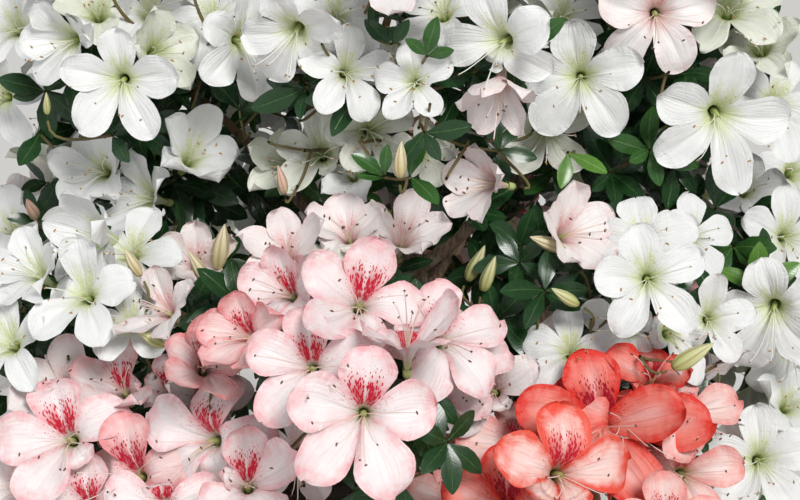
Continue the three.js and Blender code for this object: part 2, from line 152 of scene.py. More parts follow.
# Blossom that the photograph shows. across, down: where its throat is, in pixels. width: how wide it would be
# face on, in pixels. right, up: how far it faces to the right and up, as parts of one. roll: degrees that its
# top lobe leans left. lift: how far it stands in front of others, in millimetres.
Seen = namedtuple("Seen", "kind across down width right up roll lift form", defaults=("open",))
SEEN_BLOSSOM = [Seen(*row) for row in (
    ("white", 119, 83, 128, -0.05, -0.2, 0, 38), ("white", 62, 42, 112, -0.55, -0.2, 15, 16, "funnel"),
    ("cream", 98, 8, 104, 0.1, 0.45, -20, 2, "funnel"), ("cream", 160, 50, 108, 0.45, 0.1, 10, 6, "funnel"),
    ("white", 248, 42, 108, 0.55, -0.15, -10, 8), ("white", 290, 38, 118, -0.3, -0.5, 10, 24),
    ("white", 215, 12, 104, 0.1, 0.35, 20, 0), ("white", 350, 70, 96, 0.3, 0.1, 0, -12),
    ("white", 413, 80, 86, -0.15, 0.1, 10, -4), ("white", 398, 52, 92, -0.3, 0.4, 0, -44),
    ("white", 492, 45, 138, -0.55, -0.25, 12, 38), ("blush", 497, 92, 104, -0.25, -0.75, 0, 18, "funnel"),
    ("white", 580, 78, 128, -0.1, -0.12, 8, 36), ("blush", 658, 16, 128, 0, -0.2, 0, 24),
    ("white", 723, 120, 148, 0.12, -0.3, -10, 42), ("white", 781, 100, 116, 0.3, 0.1, -20, 18),
    ("cream", 760, 42, 112, -0.2, 0.45, 0, 4, "funnel"), ("cream", 730, 2, 112, 0, 0.5, 10, -6),
    ("white", 196, 152, 118, 0.4, 0.4, -14, 8, "funnel"), ("white", 10, 22, 108, -0.3, 0.35, 20, 0),
    ("white", -4, 96, 100, -0.4, 0, 0, 6), ("white", 150, 6, 104, 0.1, 0.5, 0, -14),
    ("white", 340, 8, 104, 0.2, 0.4, 10, -10), ("white", 440, 6, 104, -0.2, 0.45, 0, -14),
    ("white", 565, 8, 104, 0.1, 0.4, 0, -16), ("white", 96, 168, 112, -0.35, 0.2, 16, 2, "funnel"),
    ("white", 140, 196, 108, -0.65, 0.15, 10, 4, "funnel"), ("white", 6, 226, 104, -0.35, 0.35, 20, 2),
    ("white", 92, 236, 124, -0.7, 0.15, 6, 10, "funnel"), ("white", 128, 246, 112, -0.1, 0.5, -15, 4),
    ("white", 30, 268, 116, -0.45, 0.45, 15, 4, "funnel"), ("white", 78, 290, 124, -0.25, 0.35, 0, 10),
    ("white", 4, 340, 112, -0.3, 0.35, 10, 8), ("cream", 320, 150, 106, -0.1, 0.25, 0, -60),
    ("cream", 372, 128, 96, 0.2, 0.1, 15, -60), ("cream", 286, 162, 96, -0.2, 0.2, 0, -62, "funnel"),
    ("white", 352, 172, 80, -0.1, 0.4, 0, -56, "funnel"), ("cream", 424, 150, 76, 0.2, 0.2, 0, -54),
    ("blush", 482, 182, 100, -0.8, 0.1, 0, -4, "funnel"), ("cream", 545, 130, 104, -0.1, -0.2, 10, -54),
    ("blush", 574, 230, 118, 0.5, 0.3, 5, 6, "funnel"), ("white", 642, 236, 112, -0.1, 0.3, 5, 6),
    ("white", 694, 234, 94, 0.25, 0.3, 0, -10), ("white", 650, 278, 124, 0, 0.05, 12, 26),
    ("white", 571, 346, 106, -0.05, 0.4, 5, -24), ("white", 628, 322, 108, -0.1, 0.4, 0, -36),
    ("white", 676, 330, 104, 0.3, 0.2, -15, -30), ("white", 712, 318, 96, 0.1, 0.1, 0, -14),
    ("white", 772, 316, 132, -0.25, -0.35, 10, 44), ("white", 796, 352, 110, 0.2, -0.3, 0, 10),
    ("white", 790, 234, 104, 0.15, 0.15, 0, 16), ("white", 800, 168, 112, 0.25, 0.2, 10, -12),
    ("white", 748, 186, 96, 0.1, 0.35, -10, -40, "funnel"), ("white", 763, 460, 122, 0.05, 0.1, 5, 160),
    ("white", 792, 402, 106, 0.2, 0.4, 0, 40, "funnel"), ("cream", 724, 488, 112, -0.1, 0.3, 0, -14),
    ("pale", 363, 416, 156, 0, 0, -4, 61), ("pale", 308, 366, 140, -0.12, 0.15, 0, 34),
    ("pale", 362, 298, 140, 0.12, 0.35, -12, 26), ("blush", 285, 250, 108, -0.1, 0.5, 6, 2, "funnel"),
    ("pale", 283, 290, 112, -0.4, 0.35, 10, 12, "funnel"),
    ("rose", 240, 332, 120, -0.4, 0.3, 8, 18, "funnel"),
    ("rose", 206, 362, 116, 0.2, 0.45, -8, -4, "funnel"), ("pale", 62, 437, 150, -0.15, 0.2, 18, 56),
    ("rose", 127, 474, 150, -0.3, 0.2, 8, 122), ("pale", 162, 504, 128, 0, 0.2, 6, 149),
    ("pale", 198, 440, 150, -0.5, 0.1, -8, 24), ("pale", 246, 478, 136, 0, 0.45, 0, 33, "funnel"),
    ("pale", 120, 384, 116, -0.15, 0.5, 10, -25, "funnel"),
    ("pale", 166, 386, 104, 0.1, 0.5, -10, -16, "funnel"),
    ("blush", 205, 398, 104, 0.3, 0.3, 0, -52, "funnel"),
    ("blush", 64, 386, 120, -0.1, 0.6, 0, -20, "funnel"),
    ("rose", 104, 414, 116, 0.2, 0.4, -8, -14, "funnel"),
    ("blush", 160, 306, 108, -0.45, 0.45, 14, 10, "funnel"), ("white", 130, 318, 100, 0, 0.5, 10, -8),
    ("blush", 196, 258, 96, 0.1, 0.45, 0, -14, "funnel"),
    ("pale", 408, 330, 134, 0.02, 0.88, 0, 40, "funnel"), ("pale", 452, 336, 136, 0.38, 0.25, 8, 30),
    ("pale", 458, 366, 112, 0.25, -0.3, 0, 4), ("blush", 346, 228, 112, -0.15, 0.6, 8, -6, "funnel"),
    ("blush", 404, 232, 112, 0.15, 0.65, -10, -6, "funnel"), ("cream", 318, 264, 92, 0, 0.3, 0, -22),
    ("salmon", 524, 442, 150, 0.1, 0.3, 4, 30), ("blush", 490, 388, 110, -0.25, 0.25, 10, 10),
    ("salmon", 452, 500, 108, -0.1, 0.2, 0, 40), ("coral", 569, 474, 162, 0.26, 0.12, -2, 112),
    ("scarlet", 600, 424, 164, -0.08, 0.2, 4, 14), ("scarlet", 630, 422, 158, 0.3, 0.1, -14, 8),
    ("scarlet", 654, 372, 124, 0, 0.55, 0, -16, "funnel"), ("salmon", 696, 412, 118, 0.5, 0.15, 0, 4),
    ("scarlet", 506, 506, 136, -0.1, 0.2, 0, 128), ("salmon", 688, 474, 128, 0.15, 0.1, 0, 88),
    ("scarlet", 658, 450, 104, 0.2, 0, 0, 10), ("scarlet", 553, 536, 124, 0, 0.2, 6, 150),
    ("salmon", 668, 526, 124, 0.1, 0.2, 0, 120), ("blush", 732, 452, 100, 0, 0.2, 0, -20, "funnel"),
    ("blush", 16, 484, 116, -0.2, 0.15, 0, 76), ("pale", 84, 508, 120, -0.1, 0.1, 0, 104),
    ("blush", 298, 452, 104, 0, 0.1, 0, -34),
)]

# Whorls of leaves that the photograph shows, with the same names. length: the longest leaf, in pixels.
SeenWhorl = namedtuple("SeenWhorl", "kind across down length right up lift")
SEEN_WHORLS = [SeenWhorl(*row) for row in (
    ("dark", 322, 44, 46, 0, 0.1, 10), ("dark", 373, 36, 46, 0.3, 0.1, 6),
    ("dark", 40, 133, 46, 0.1, 0.1, 20), ("dark", 56, 152, 34, 0, 0.2, 12),
    ("dark", 112, 135, 34, 0.1, 0.1, 14), ("dark", 176, 224, 50, 0, 0.3, 16),
    ("dark", 250, 186, 46, 0, 0.2, 6), ("middle", 297, 186, 40, 0, 0.2, -8),
    ("dark", 391, 44, 40, 0, 0.2, 10), ("middle", 427, 56, 38, 0.1, 0, 12),
    ("dark", 470, 128, 44, -0.1, 0.1, 6), ("fresh", 430, 104, 34, 0, 0.2, 12),
    ("dark", 424, 132, 44, -0.1, 0.2, 8), ("middle", 410, 176, 44, 0.2, 0.3, 4),
    ("fresh", 447, 178, 46, 0.2, 0.3, 6), ("middle", 384, 176, 40, -0.2, 0.3, 0),
    ("middle", 528, 46, 44, 0, 0.1, 12), ("dark", 530, 16, 40, 0.1, 0.2, 6),
    ("fresh", 661, 110, 50, 0.1, 0.1, 24), ("middle", 650, 150, 44, -0.1, 0.1, 18),
    ("dark", 676, 166, 40, 0.2, 0.1, 12), ("middle", 669, 72, 40, 0, 0.1, 14),
    ("fresh", 568, 152, 44, 0, 0.25, 66), ("dark", 612, 172, 46, 0.2, 0.1, 10),
    ("middle", 552, 172, 42, -0.2, 0.1, 6), ("dark", 500, 216, 46, 0, 0.3, -8),
    ("dark", 520, 262, 46, 0.1, 0.2, -10), ("dark", 470, 212, 44, -0.2, 0.3, -6),
    ("dark", 545, 290, 44, 0.1, 0.2, -8), ("middle", 733, 246, 46, -0.1, 0.2, 16),
    ("dark", 768, 262, 46, 0, 0.2, 18), ("fresh", 758, 288, 42, 0.1, 0.1, 24),
    ("dark", 716, 208, 40, 0.1, 0.2, 4), ("dark", 716, 366, 46, 0.1, 0.1, -12),
    ("middle", 700, 358, 38, 0, 0.3, 2), ("dark", 448, 442, 56, 0.3, 0.1, 50),
    ("middle", 440, 468, 52, 0.1, 0, 50), ("dark", 424, 386, 46, 0, 0.1, 8),
    ("dark", 304, 486, 56, 0, 0.1, 50), ("dark", 404, 486, 52, 0.1, 0, 40),
    ("dark", 286, 452, 44, -0.1, 0, -4), ("dark", 232, 366, 42, 0.1, 0.2, -12),
    ("dark", 20, 310, 44, -0.1, 0.2, -4), ("dark", 640, 356, 40, 0, 0.1, -14),
    ("dark", 740, 420, 44, 0.1, 0.1, -10), ("dark", 610, 196, 44, 0.1, 0.1, -14),
    ("dark", 500, 150, 46, 0.1, 0.1, -20), ("dark", 210, 200, 44, 0, 0.3, -10),
    ("dark", 240, 110, 46, 0.1, 0.2, -24), ("dark", 300, 120, 46, 0, 0.2, -26),
    ("dark", 190, 110, 46, 0, 0.2, -20),
)]

# Buds that the photograph shows. tilt: degrees that the bud leans left.
SeenBud = namedtuple("SeenBud", "kind across down length tilt lift")
SEEN_BUDS = [SeenBud(*row) for row in (
    ("cream_bud", 400, 160, 38, 0, 24), ("cream_bud", 221, 246, 50, -10, 20),
    ("cream_bud", 199, 268, 38, 28, 22), ("green_bud", 47, 104, 22, 0, 24),
    ("cream_bud", 547, 243, 40, 70, 10), ("pink_bud", 461, 240, 34, -25, 12),
    ("green_bud", 477, 264, 40, -30, 14), ("green_bud", 489, 274, 38, -20, 10),
    ("green_bud", 565, 297, 34, 60, 4), ("green_bud", 694, 356, 50, -60, 22),
    ("cream_bud", 132, 262, 34, 30, 16), ("pink_bud", 282, 180, 30, 10, 4),
    ("green_bud", 150, 338, 34, 60, 10),
)]

# How deep the photograph's front goes, how many pixels past its edges, and the dark whorls behind the
# blossom, whose darkest green is painted shade
FRONT_DEPTH = 62
FRAME_MARGIN = 26
SEEN_LEAF_STRETCH = 1.12
SHELTERED_LIFTS = (-26, -62)
SHELTERED_STEP = 56
SHELTERED_DEPTH = 0.92
SHELTERED_LEAF = (32, 8)

# Growth of the rest of the crown
Shell = namedtuple("Shell", "depth spacing most")
BLOSSOM_DIRECTIONS = 170
BLOSSOM_SHELLS = (Shell(0.97, 45, 20), Shell(0.72, 52, 7))
BLOSSOM_CLEARANCE = 30
BLOSSOM_RADIUS = 42
BLOSSOM_SMALLEST, BLOSSOM_SIZE_SPREAD = 0.86, 0.18
BLOSSOM_BACKWARD = -0.25
BLOSSOM_SHUFFLE = 0.25
BLOSSOM_OUTWARD, BLOSSOM_UPWARD, BLOSSOM_WANDER = 0.3, 0.25, 0.38
BLOSSOM_LEAN = 0.5
TUBE_LENGTH = 0.78
GROWN_FORMS = ("open", "open", "funnel")
WHORL_DIRECTIONS = 150
WHORL_SHELLS = (Shell(0.96, 29, 18), Shell(0.8, 30, 22), Shell(0.6, 32, 18), Shell(0.4, 34, 10))
WHORL_CLEARANCE = 22
WHORL_BACKWARD = -0.5
WHORL_UPWARD, WHORL_WANDER = 0.35, 0.4
WHORL_LENGTH, WHORL_LENGTH_SPREAD = 29, 9
OUTER_FRONT, INNER_FRONT, BUD_FRONT = 34, 24, 30
WHORL_FROM_BLOSSOM = 30
OUTER_DEPTH = 0.9
TUCKED_DEPTH = 0.6
INNER_DEPTH = 0.5
OUTER_GREENS = ("dark", "middle", "fresh")
# Whorls inside the crown and tucked behind the blossom take the darkest green more often, as painted shade of
# the crown's inside; the three greens themselves are the leaves' own.
INNER_GREENS = ("dark", "dark", "middle")
TUCKED_GREENS = ("dark", "middle", "dark")
BUD_KINDS = ("green_bud", "cream_bud", "pink_bud")
BUD_CHANCE = 0.18
BUD_LENGTH, BUD_LENGTH_SPREAD = 14, 10
TUCKED_CHANCE = 0.75
TUCKED_LENGTH, TUCKED_LENGTH_SPREAD = 24, 8
STALK_LENGTH, STALK_LENGTH_SPREAD = 6, 6
SETBACK = 4
KINDS_BY_MASS = {
    "lower_front": ("pale", "pale", "rose", "blush", "pale"),
    "lower_front_left": ("pale", "rose", "pale", "blush", "rose"),
    "lower_front_right": ("coral", "salmon", "scarlet", "coral", "blush"),
    "lower_back": ("pale", "rose", "pale", "blush", "salmon"),
    "lower_left": ("white", "white", "cream", "blush", "pale"),
    "lower_right": ("white", "cream", "white", "blush", "white"),
}
WHITE_KINDS = ("white", "white", "cream", "white", "white", "blush")

# Twigs
TURNING_COST = 0.5
TURNING_SHARE = 0.1
END_REACH = 0.4
TWIG_BEND = 0.45
TWIG_WANDER = 0.06
LONG_TWIG = 60
YOUNG_TWIG = 70
THICK_TWIG = 130
TWIG_FOOT_SHARE = 0.85
STALK_RADIUS, WHORL_TWIG_RADIUS, BUD_TWIG_RADIUS = 0.95, 1.0, 0.9

# Seeds of the random draws
SEEDS = {"growth": 7, "soil": 3, "leaves": 11, "blossom": 23, "buds": 31}

# Stage
FLOOR_REACH = 60
HORIZON_COLOUR = (0.46, 0.465, 0.47)
ZENITH_COLOUR = (0.17, 0.175, 0.185)


# Small sums
def unit(vector):
    return vector / max(np.linalg.norm(vector), 1e-9)


def lerp(low, high, share):
    return low + (high - low) * share


def smooth(low, high, value):
    share = np.clip((value - low) / (high - low), 0, 1)
    return share * share * (3 - 2 * share)


def bezier(points, shares):
    """Points along a Bezier curve of three or four control points."""
    rows = np.asarray(points, float)
    shares = np.asarray(shares, float)[:, None]
    order = len(rows) - 1
    return sum(
        math.comb(order, k) * (1 - shares) ** (order - k) * shares**k * row for k, row in enumerate(rows)
    )


def square_to(axis, towards):
    """The part of towards that is square to axis, as a unit vector."""
    side = towards - axis * np.dot(towards, axis)
    if np.linalg.norm(side) < 1e-3:
        side = np.cross(axis, [1.0, 0.0, 0.0]) + 1e-3
        side -= axis * np.dot(side, axis)
    return unit(side)


def wander(random, size):
    return (random.random(3) - 0.5) * 2 * size


def choice(random, options):
    return options[int(random.random() * len(options))]


class Heap:
    """Points, four-sided faces and maps of many like parts, joined into one mesh."""

    def __init__(self, mapped=True):
        self.points, self.faces, self.maps, self.count, self.mapped = [], [], {}, 0, mapped

    def add(self, points, faces, **maps):
        points = points.reshape(-1, 3)
        self.points.append(points)
        self.faces.append(faces + self.count)
        self.count += len(points)
        for name, places in maps.items() if self.mapped else ():
            self.maps.setdefault(name, []).append(places.reshape(-1, 2))

    def build(self, name, material, slot, nodes):
        """The joined mesh as a piece that rides on the plant and stands for these nodes."""
        faces = np.concatenate(self.faces)
        mesh = bpy.data.meshes.new(name)
        mesh.vertices.add(self.count)
        mesh.vertices.foreach_set("co", (np.concatenate(self.points) * MM).ravel().astype(np.float32))
        mesh.loops.add(faces.size)
        mesh.loops.foreach_set("vertex_index", faces.ravel().astype(np.int32))
        mesh.polygons.add(len(faces))
        mesh.polygons.foreach_set("loop_start", np.arange(0, faces.size, 4, dtype=np.int32))
        for map_name, places in self.maps.items():
            layer = mesh.uv_layers.new(name=map_name)
            layer.data.foreach_set("uv", np.concatenate(places)[faces.ravel()].ravel().astype(np.float32))
        mesh.update(calc_edges=True)
        mesh.validate()
        mesh.shade_smooth()
        piece = bpy.data.objects.new(name, mesh)
        bpy.context.scene.collection.objects.link(piece)
        mesh.materials.append(material)
        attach(piece, ROOT)
        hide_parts(*nodes)
        return piece


@functools.cache
def sheet_faces(rows, columns):
    """The faces of a sheet of points, whose front is along its rows' way crossed with its columns' way."""
    index = np.arange(rows * columns).reshape(rows, columns)
    return np.stack([index[:-1, :-1], index[1:, :-1], index[1:, 1:], index[:-1, 1:]], -1).reshape(-1, 4)


@functools.cache
def tube_faces(rings, sides):
    index = np.arange(rings * sides).reshape(rings, sides)
    after = np.roll(index, -1, axis=1)
    return np.stack([index[:-1], after[:-1], after[1:], index[1:]], -1).reshape(-1, 4)


def tube(heap, path, radii, sides, relief=None):
    """A tube along a path. relief(ring, angles) gives shares to add to its radius."""
    tangents = np.gradient(path, axis=0)
    tangents /= np.linalg.norm(tangents, axis=1)[:, None]
    spare = np.eye(3)[np.argmin(np.abs(tangents.mean(axis=0)))]
    side = np.cross(tangents, spare)
    side /= np.linalg.norm(side, axis=1)[:, None]
    other = np.cross(tangents, side)
    angles = 2 * math.pi * np.arange(sides) / sides
    around = np.cos(angles)[:, None] * side[:, None] + np.sin(angles)[:, None] * other[:, None]
    width = np.asarray(radii, float)[:, None] * np.ones(sides)
    if relief is not None:
        width = width * (1 + relief(np.arange(len(path)), angles))
    points = path[:, None] + width[..., None] * around
    along = np.linspace(MAP_MARGIN, 1 - MAP_MARGIN, len(path))[:, None] * np.ones(sides)
    turn = MAP_MARGIN + (1 - 2 * MAP_MARGIN) * np.arange(sides) / (sides - 1) * np.ones((len(path), 1))
    places = np.stack([turn, along], -1)
    heap.add(points, tube_faces(len(path), sides), OFBake=places, Rim=places)


# Limbs
def trunk_point(share):
    return np.array([
        TRUNK_LEAN[0] * math.sin(share * math.pi * TRUNK_HALF_TURNS[0]) + TRUNK_TIP_DRIFT[0] * share,
        TRUNK_LEAN[1] * math.sin(share * math.pi * TRUNK_HALF_TURNS[1]) + TRUNK_TIP_DRIFT[1] * share**2,
        lerp(SOIL_TOP + GAP, TRUNK_TOP, share),
    ])


def trunk_radius(share, angle):
    flare = FLARE_SHARE * np.exp(-share * (TRUNK_TOP - SOIL_TOP) / FLARE_HEIGHT)
    lobes = 1 + flare * ROOT_LOBE_SHARE * np.cos(ROOT_LOBES * angle)
    return lerp(TRUNK_FOOT_RADIUS, TRUNK_TIP_RADIUS, share**TRUNK_TAPER) * (1 + flare) * lobes


def bough_curve(mass):
    """The bough's three control points, from the trunk's middle to its tip in the mass."""
    foot = trunk_point((mass.foot - SOIL_TOP) / (TRUNK_TOP - SOIL_TOP))
    tip = lerp(foot, mass.centre, BOUGH_SHARE)
    bend = lerp(foot, tip, 0.5)
    bend[2] -= BOUGH_SAG * np.linalg.norm(tip - foot)
    return foot, bend, tip


def stem_curve(mass):
    """The stem's three control points, which go on from the bough's or the trunk's tip."""
    if mass.name == "top":
        start, way = trunk_point(1), unit(trunk_point(1) - trunk_point(0.99))
    else:
        bend, start = bough_curve(mass)[1:]
        way = unit(start - bend)
    heart = lerp(start, mass.centre, STEM_REACH)
    return start, start + way * STEM_BEND * np.linalg.norm(heart - start), heart


# Growth
Blossom = namedtuple("Blossom", "place facing top radius form kind fine")
Whorl = namedtuple("Whorl", "place facing length count kind depth")
Bud = namedtuple("Bud", "place facing length kind")
Twig = namedtuple("Twig", "points foot_radius tip_radius young")


def mass_of(place):
    return int(np.argmin(np.linalg.norm(CENTRES - place, axis=1)))


def shell_depth(place):
    """How deep a place lies in the crown: 1 on a mass's surface and less inside it."""
    return np.linalg.norm((place - CENTRES) / RADII, axis=1).min()


def photo_ray(across, down):
    right = (across - PHOTO_WIDTH / 2) * PIXEL
    up = (PHOTO_HEIGHT / 2 - down) * PIXEL
    return unit(-VIEW_TOWARDS + VIEW_RIGHT * right + VIEW_UP * up)


def photo_place(across, down, lift):
    """The place that a pixel shows, lifted from the crown's surface towards the viewer."""
    ray = photo_ray(across, down)
    start = (VIEW_PLACE - CENTRES) / RADII
    way = ray / RADII
    along = -(start * way).sum(axis=1) / (way * way).sum(axis=1)
    miss = np.linalg.norm(start + way * along[:, None], axis=1)
    hits = miss < 1
    if hits.any():
        back = np.sqrt(np.maximum(1 - miss**2, 0)) / np.linalg.norm(way, axis=1)
        distance = (along - back)[hits].min()
    else:
        distance = along[np.argmin(miss)]
    return VIEW_PLACE + ray * (distance + SEEN_DEPTH - LIFT_SHARE * lift)


def photo_facing(right, up):
    towards = math.sqrt(max(0.0, 1 - right * right - up * up))
    return unit(VIEW_RIGHT * right + VIEW_UP * up + VIEW_TOWARDS * towards)


def photo_pixel(place):
    away = place - VIEW_PLACE
    depth = -away @ VIEW_TOWARDS
    return (
        PHOTO_WIDTH / 2 + away @ VIEW_RIGHT / depth / PIXEL,
        PHOTO_HEIGHT / 2 - away @ VIEW_UP / depth / PIXEL,
        depth,
    )


def in_photo_front(place, depth=FRONT_DEPTH):
    """True where the photograph shows the crown's surface, which the seen blossom and whorls make up."""
    across, down, away = photo_pixel(place)
    if not (-FRAME_MARGIN < across < PHOTO_WIDTH + FRAME_MARGIN):
        return False
    if not (-FRAME_MARGIN < down < PHOTO_HEIGHT + FRAME_MARGIN):
        return False
    return away < photo_pixel(photo_place(across, down, 0))[2] + depth


def shell_directions(random, count):
    height = 1 - (2 * np.arange(count) + 1) / count
    width = np.sqrt(1 - height * height)
    turn = 2 * math.pi * random.random() + np.arange(count) * GOLDEN_ANGLE
    return np.stack([width * np.cos(turn), width * np.sin(turn), height], -1)


def crowded(taken, place, spacing):
    """True where a place lies nearer than spacing to one that is taken."""
    return bool(taken) and np.linalg.norm(np.array(taken) - place, axis=1).min() < spacing


def grown_blossom(random, taken):
    """Blossom on the rest of the crown's surface and just under it, by the solids' rule."""
    found = []
    for number, mass in enumerate(MASSES):
        outward = unit(mass.centre - CROWN_HEART)
        directions = shell_directions(random, BLOSSOM_DIRECTIONS)
        order = np.argsort(BLOSSOM_SHUFFLE * random.random(len(directions)) - directions @ outward)
        others = np.arange(len(MASSES)) != number
        for shell in BLOSSOM_SHELLS:
            mine = 0
            for direction in directions[order]:
                if mine >= shell.most or direction @ outward < BLOSSOM_BACKWARD:
                    break
                place = mass.centre + direction * mass.radii * shell.depth
                apart = np.linalg.norm((place - CENTRES[others]) / RADII[others], axis=1)
                buried = apart.min() < BURIED_SHARE * shell.depth
                if buried or place[2] < LOWEST_FOLIAGE + BLOSSOM_CLEARANCE:
                    continue
                if crowded(taken, place, shell.spacing) or in_photo_front(place):
                    continue
                way = unit(direction / mass.radii) + BLOSSOM_OUTWARD * outward + BLOSSOM_UPWARD * UP
                facing = unit(way + wander(random, BLOSSOM_WANDER))
                kind = choice(random, KINDS_BY_MASS.get(mass.name, WHITE_KINDS))
                top = square_to(facing, UP + wander(random, BLOSSOM_LEAN))
                radius = BLOSSOM_RADIUS * (BLOSSOM_SMALLEST + BLOSSOM_SIZE_SPREAD * random.random())
                found.append(Blossom(place, facing, top, radius, choice(random, GROWN_FORMS), kind, False))
                taken.append(place)
                mine += 1
    return found


def grown_whorls(random, taken, blossom):
    """Whorls of leaves between the blossom, and more of them inside the crown."""
    found = []
    faces = np.array([flower.place for flower in blossom])
    for number, mass in enumerate(MASSES):
        outward = unit(mass.centre - CROWN_HEART)
        directions = shell_directions(random, WHORL_DIRECTIONS)
        for shell in WHORL_SHELLS:
            outer = shell.depth > OUTER_DEPTH
            mine = 0
            for direction in directions[random.permutation(len(directions))]:
                if mine >= shell.most:
                    break
                place = mass.centre + direction * mass.radii * shell.depth
                if direction @ outward < WHORL_BACKWARD or place[2] < LOWEST_FOLIAGE + WHORL_CLEARANCE:
                    continue
                if mass_of(place) != number or crowded(taken, place, shell.spacing):
                    continue
                if outer and np.linalg.norm(faces - place, axis=1).min() < WHORL_FROM_BLOSSOM:
                    continue
                if in_photo_front(place, OUTER_FRONT if outer else INNER_FRONT):
                    continue
                facing = unit(direction + WHORL_UPWARD * UP + wander(random, WHORL_WANDER))
                kind = choice(random, OUTER_GREENS if outer else INNER_GREENS)
                count = 5 + int(random.random() * 3)
                length = WHORL_LENGTH + WHORL_LENGTH_SPREAD * random.random()
                found.append(Whorl(place, facing, length, count, kind, shell.depth))
                taken.append(place)
                mine += 1
    return found


def photo_blossom():
    found = []
    for seen in SEEN_BLOSSOM:
        facing = photo_facing(seen.right, seen.up)
        roll = math.radians(seen.roll)
        top = square_to(facing, VIEW_UP * math.cos(roll) - VIEW_RIGHT * math.sin(roll))
        place = photo_place(seen.across, seen.down, seen.lift)
        radius = seen.width / 2 * PIXEL * photo_pixel(place)[2]
        found.append(Blossom(place, facing, top, radius, seen.form, seen.kind, True))
    return found


def photo_whorls():
    found = []
    for index, seen in enumerate(SEEN_WHORLS):
        place = photo_place(seen.across, seen.down, seen.lift)
        length = seen.length * PIXEL * photo_pixel(place)[2] * SEEN_LEAF_STRETCH
        facing = photo_facing(seen.right, seen.up)
        found.append(Whorl(place, facing, length, 5 + index % 2, seen.kind, 1.0))
    return found


def sheltered_whorls(random):
    """Dark whorls behind the seen blossom, so that the crown is leafy between it. Their darkest green is
    painted shade of the crown's inside.
    """
    found = []
    for lift in SHELTERED_LIFTS:
        for down in np.arange(-FRAME_MARGIN, PHOTO_HEIGHT + FRAME_MARGIN, SHELTERED_STEP):
            for across in np.arange(-FRAME_MARGIN, PHOTO_WIDTH + FRAME_MARGIN, SHELTERED_STEP):
                shift = wander(random, SHELTERED_STEP / 3)
                place = photo_place(across + shift[0], down + shift[1], lift)
                if shell_depth(place) > SHELTERED_DEPTH:
                    continue
                facing = unit(VIEW_TOWARDS + 0.3 * UP + wander(random, 0.6))
                length = SHELTERED_LEAF[0] + SHELTERED_LEAF[1] * random.random()
                found.append(Whorl(place, facing, length, 6, "dark", INNER_DEPTH))
    return found


def photo_buds():
    found = []
    for seen in SEEN_BUDS:
        tilt = math.radians(seen.tilt)
        facing = unit(VIEW_UP * math.cos(tilt) - VIEW_RIGHT * math.sin(tilt) + 0.25 * VIEW_TOWARDS)
        place = photo_place(seen.across, seen.down, seen.lift)
        length = seen.length * PIXEL * photo_pixel(place)[2]
        place = place - facing * length / 2
        found.append(Bud(place, facing, length, seen.kind))
    return found


def tube_foot(flower):
    """Where the blossom's stalk meets its funnel."""
    return flower.place - flower.facing * flower.radius * TUBE_LENGTH


def grown_twigs(random, ends):
    """Twigs from each mass's stem to each end, by the cheapest way, as the solids have them."""
    twigs = []
    for number, mass in enumerate(MASSES):
        stem = stem_curve(mass)
        twigs.append(Twig(bezier(stem, np.linspace(0, 1, 8)), BOUGH_TIP_RADIUS, STEM_TIP_RADIUS, False))
        joints = [(bezier(stem, [share])[0], 0.0) for share in STEM_JOINTS]
        mine = [end for end in ends if mass_of(end[0]) == number]
        mine.sort(key=lambda end: np.linalg.norm(end[0] - joints[-1][0]))
        for place, facing, radius in mine:
            points = np.array([joint[0] for joint in joints])
            apart = np.linalg.norm(points - place, axis=1)
            ahead = ((place - points) @ facing) / np.maximum(apart, 1e-6)
            cost = apart * (1 + TURNING_COST * (ahead < TURNING_SHARE))
            cost = cost + PATH_COST * np.array([joint[1] for joint in joints])
            cost[apart < TWIG_SHORTEST] = np.inf
            best = int(np.argmin(cost))
            start, length = points[best], apart[best]
            control = place - facing * END_REACH * length
            middle = lerp(start, control, TWIG_BEND) + wander(random, TWIG_WANDER * length)
            curve = (start, middle, control, place)
            steps = 8 if length < LONG_TWIG else 10
            foot = lerp(radius, STEM_TIP_RADIUS, min(1.0, length / THICK_TWIG)) * TWIG_FOOT_SHARE
            twigs.append(Twig(bezier(curve, np.linspace(0, 1, steps)), foot, radius, length < YOUNG_TWIG))
            for share in TWIG_JOINTS:
                joints.append((bezier(curve, [share])[0], joints[best][1] + share * length))
    return twigs


@functools.cache
def grown_plant():
    """All blossom, whorls, buds and twigs of the crown."""
    random = np.random.default_rng(SEEDS["growth"])
    blossom = photo_blossom()
    blossom += grown_blossom(random, [flower.place for flower in blossom])
    whorls = photo_whorls() + sheltered_whorls(random)
    buds = photo_buds()
    settled = [tube_foot(flower) for flower in blossom] + [whorl.place for whorl in whorls]
    whorls += grown_whorls(random, settled, blossom)
    for whorl in whorls:
        if whorl.depth > OUTER_DEPTH and random.random() < BUD_CHANCE:
            kind = choice(random, BUD_KINDS)
            if not in_photo_front(whorl.place, BUD_FRONT):
                length = BUD_LENGTH + BUD_LENGTH_SPREAD * random.random()
                buds.append(Bud(whorl.place, whorl.facing, length, kind))
    ends = []
    for flower in blossom:
        tip = tube_foot(flower) - flower.facing * (STALK_LENGTH + STALK_LENGTH_SPREAD * random.random())
        ends.append((tip, flower.facing, STALK_RADIUS))
        if random.random() < TUCKED_CHANCE:
            length = TUCKED_LENGTH + TUCKED_LENGTH_SPREAD * random.random()
            kind = choice(random, TUCKED_GREENS)
            place = tip - flower.facing * SETBACK
            whorls.append(Whorl(place, flower.facing, length, 5, kind, TUCKED_DEPTH))
    bearing = [whorl for whorl in whorls if whorl.depth != TUCKED_DEPTH]
    ends += [(whorl.place, whorl.facing, WHORL_TWIG_RADIUS) for whorl in bearing]
    ends += [(bud.place - bud.facing * SETBACK, bud.facing, BUD_TWIG_RADIUS) for bud in buds]
    return blossom, whorls, buds, grown_twigs(random, ends)


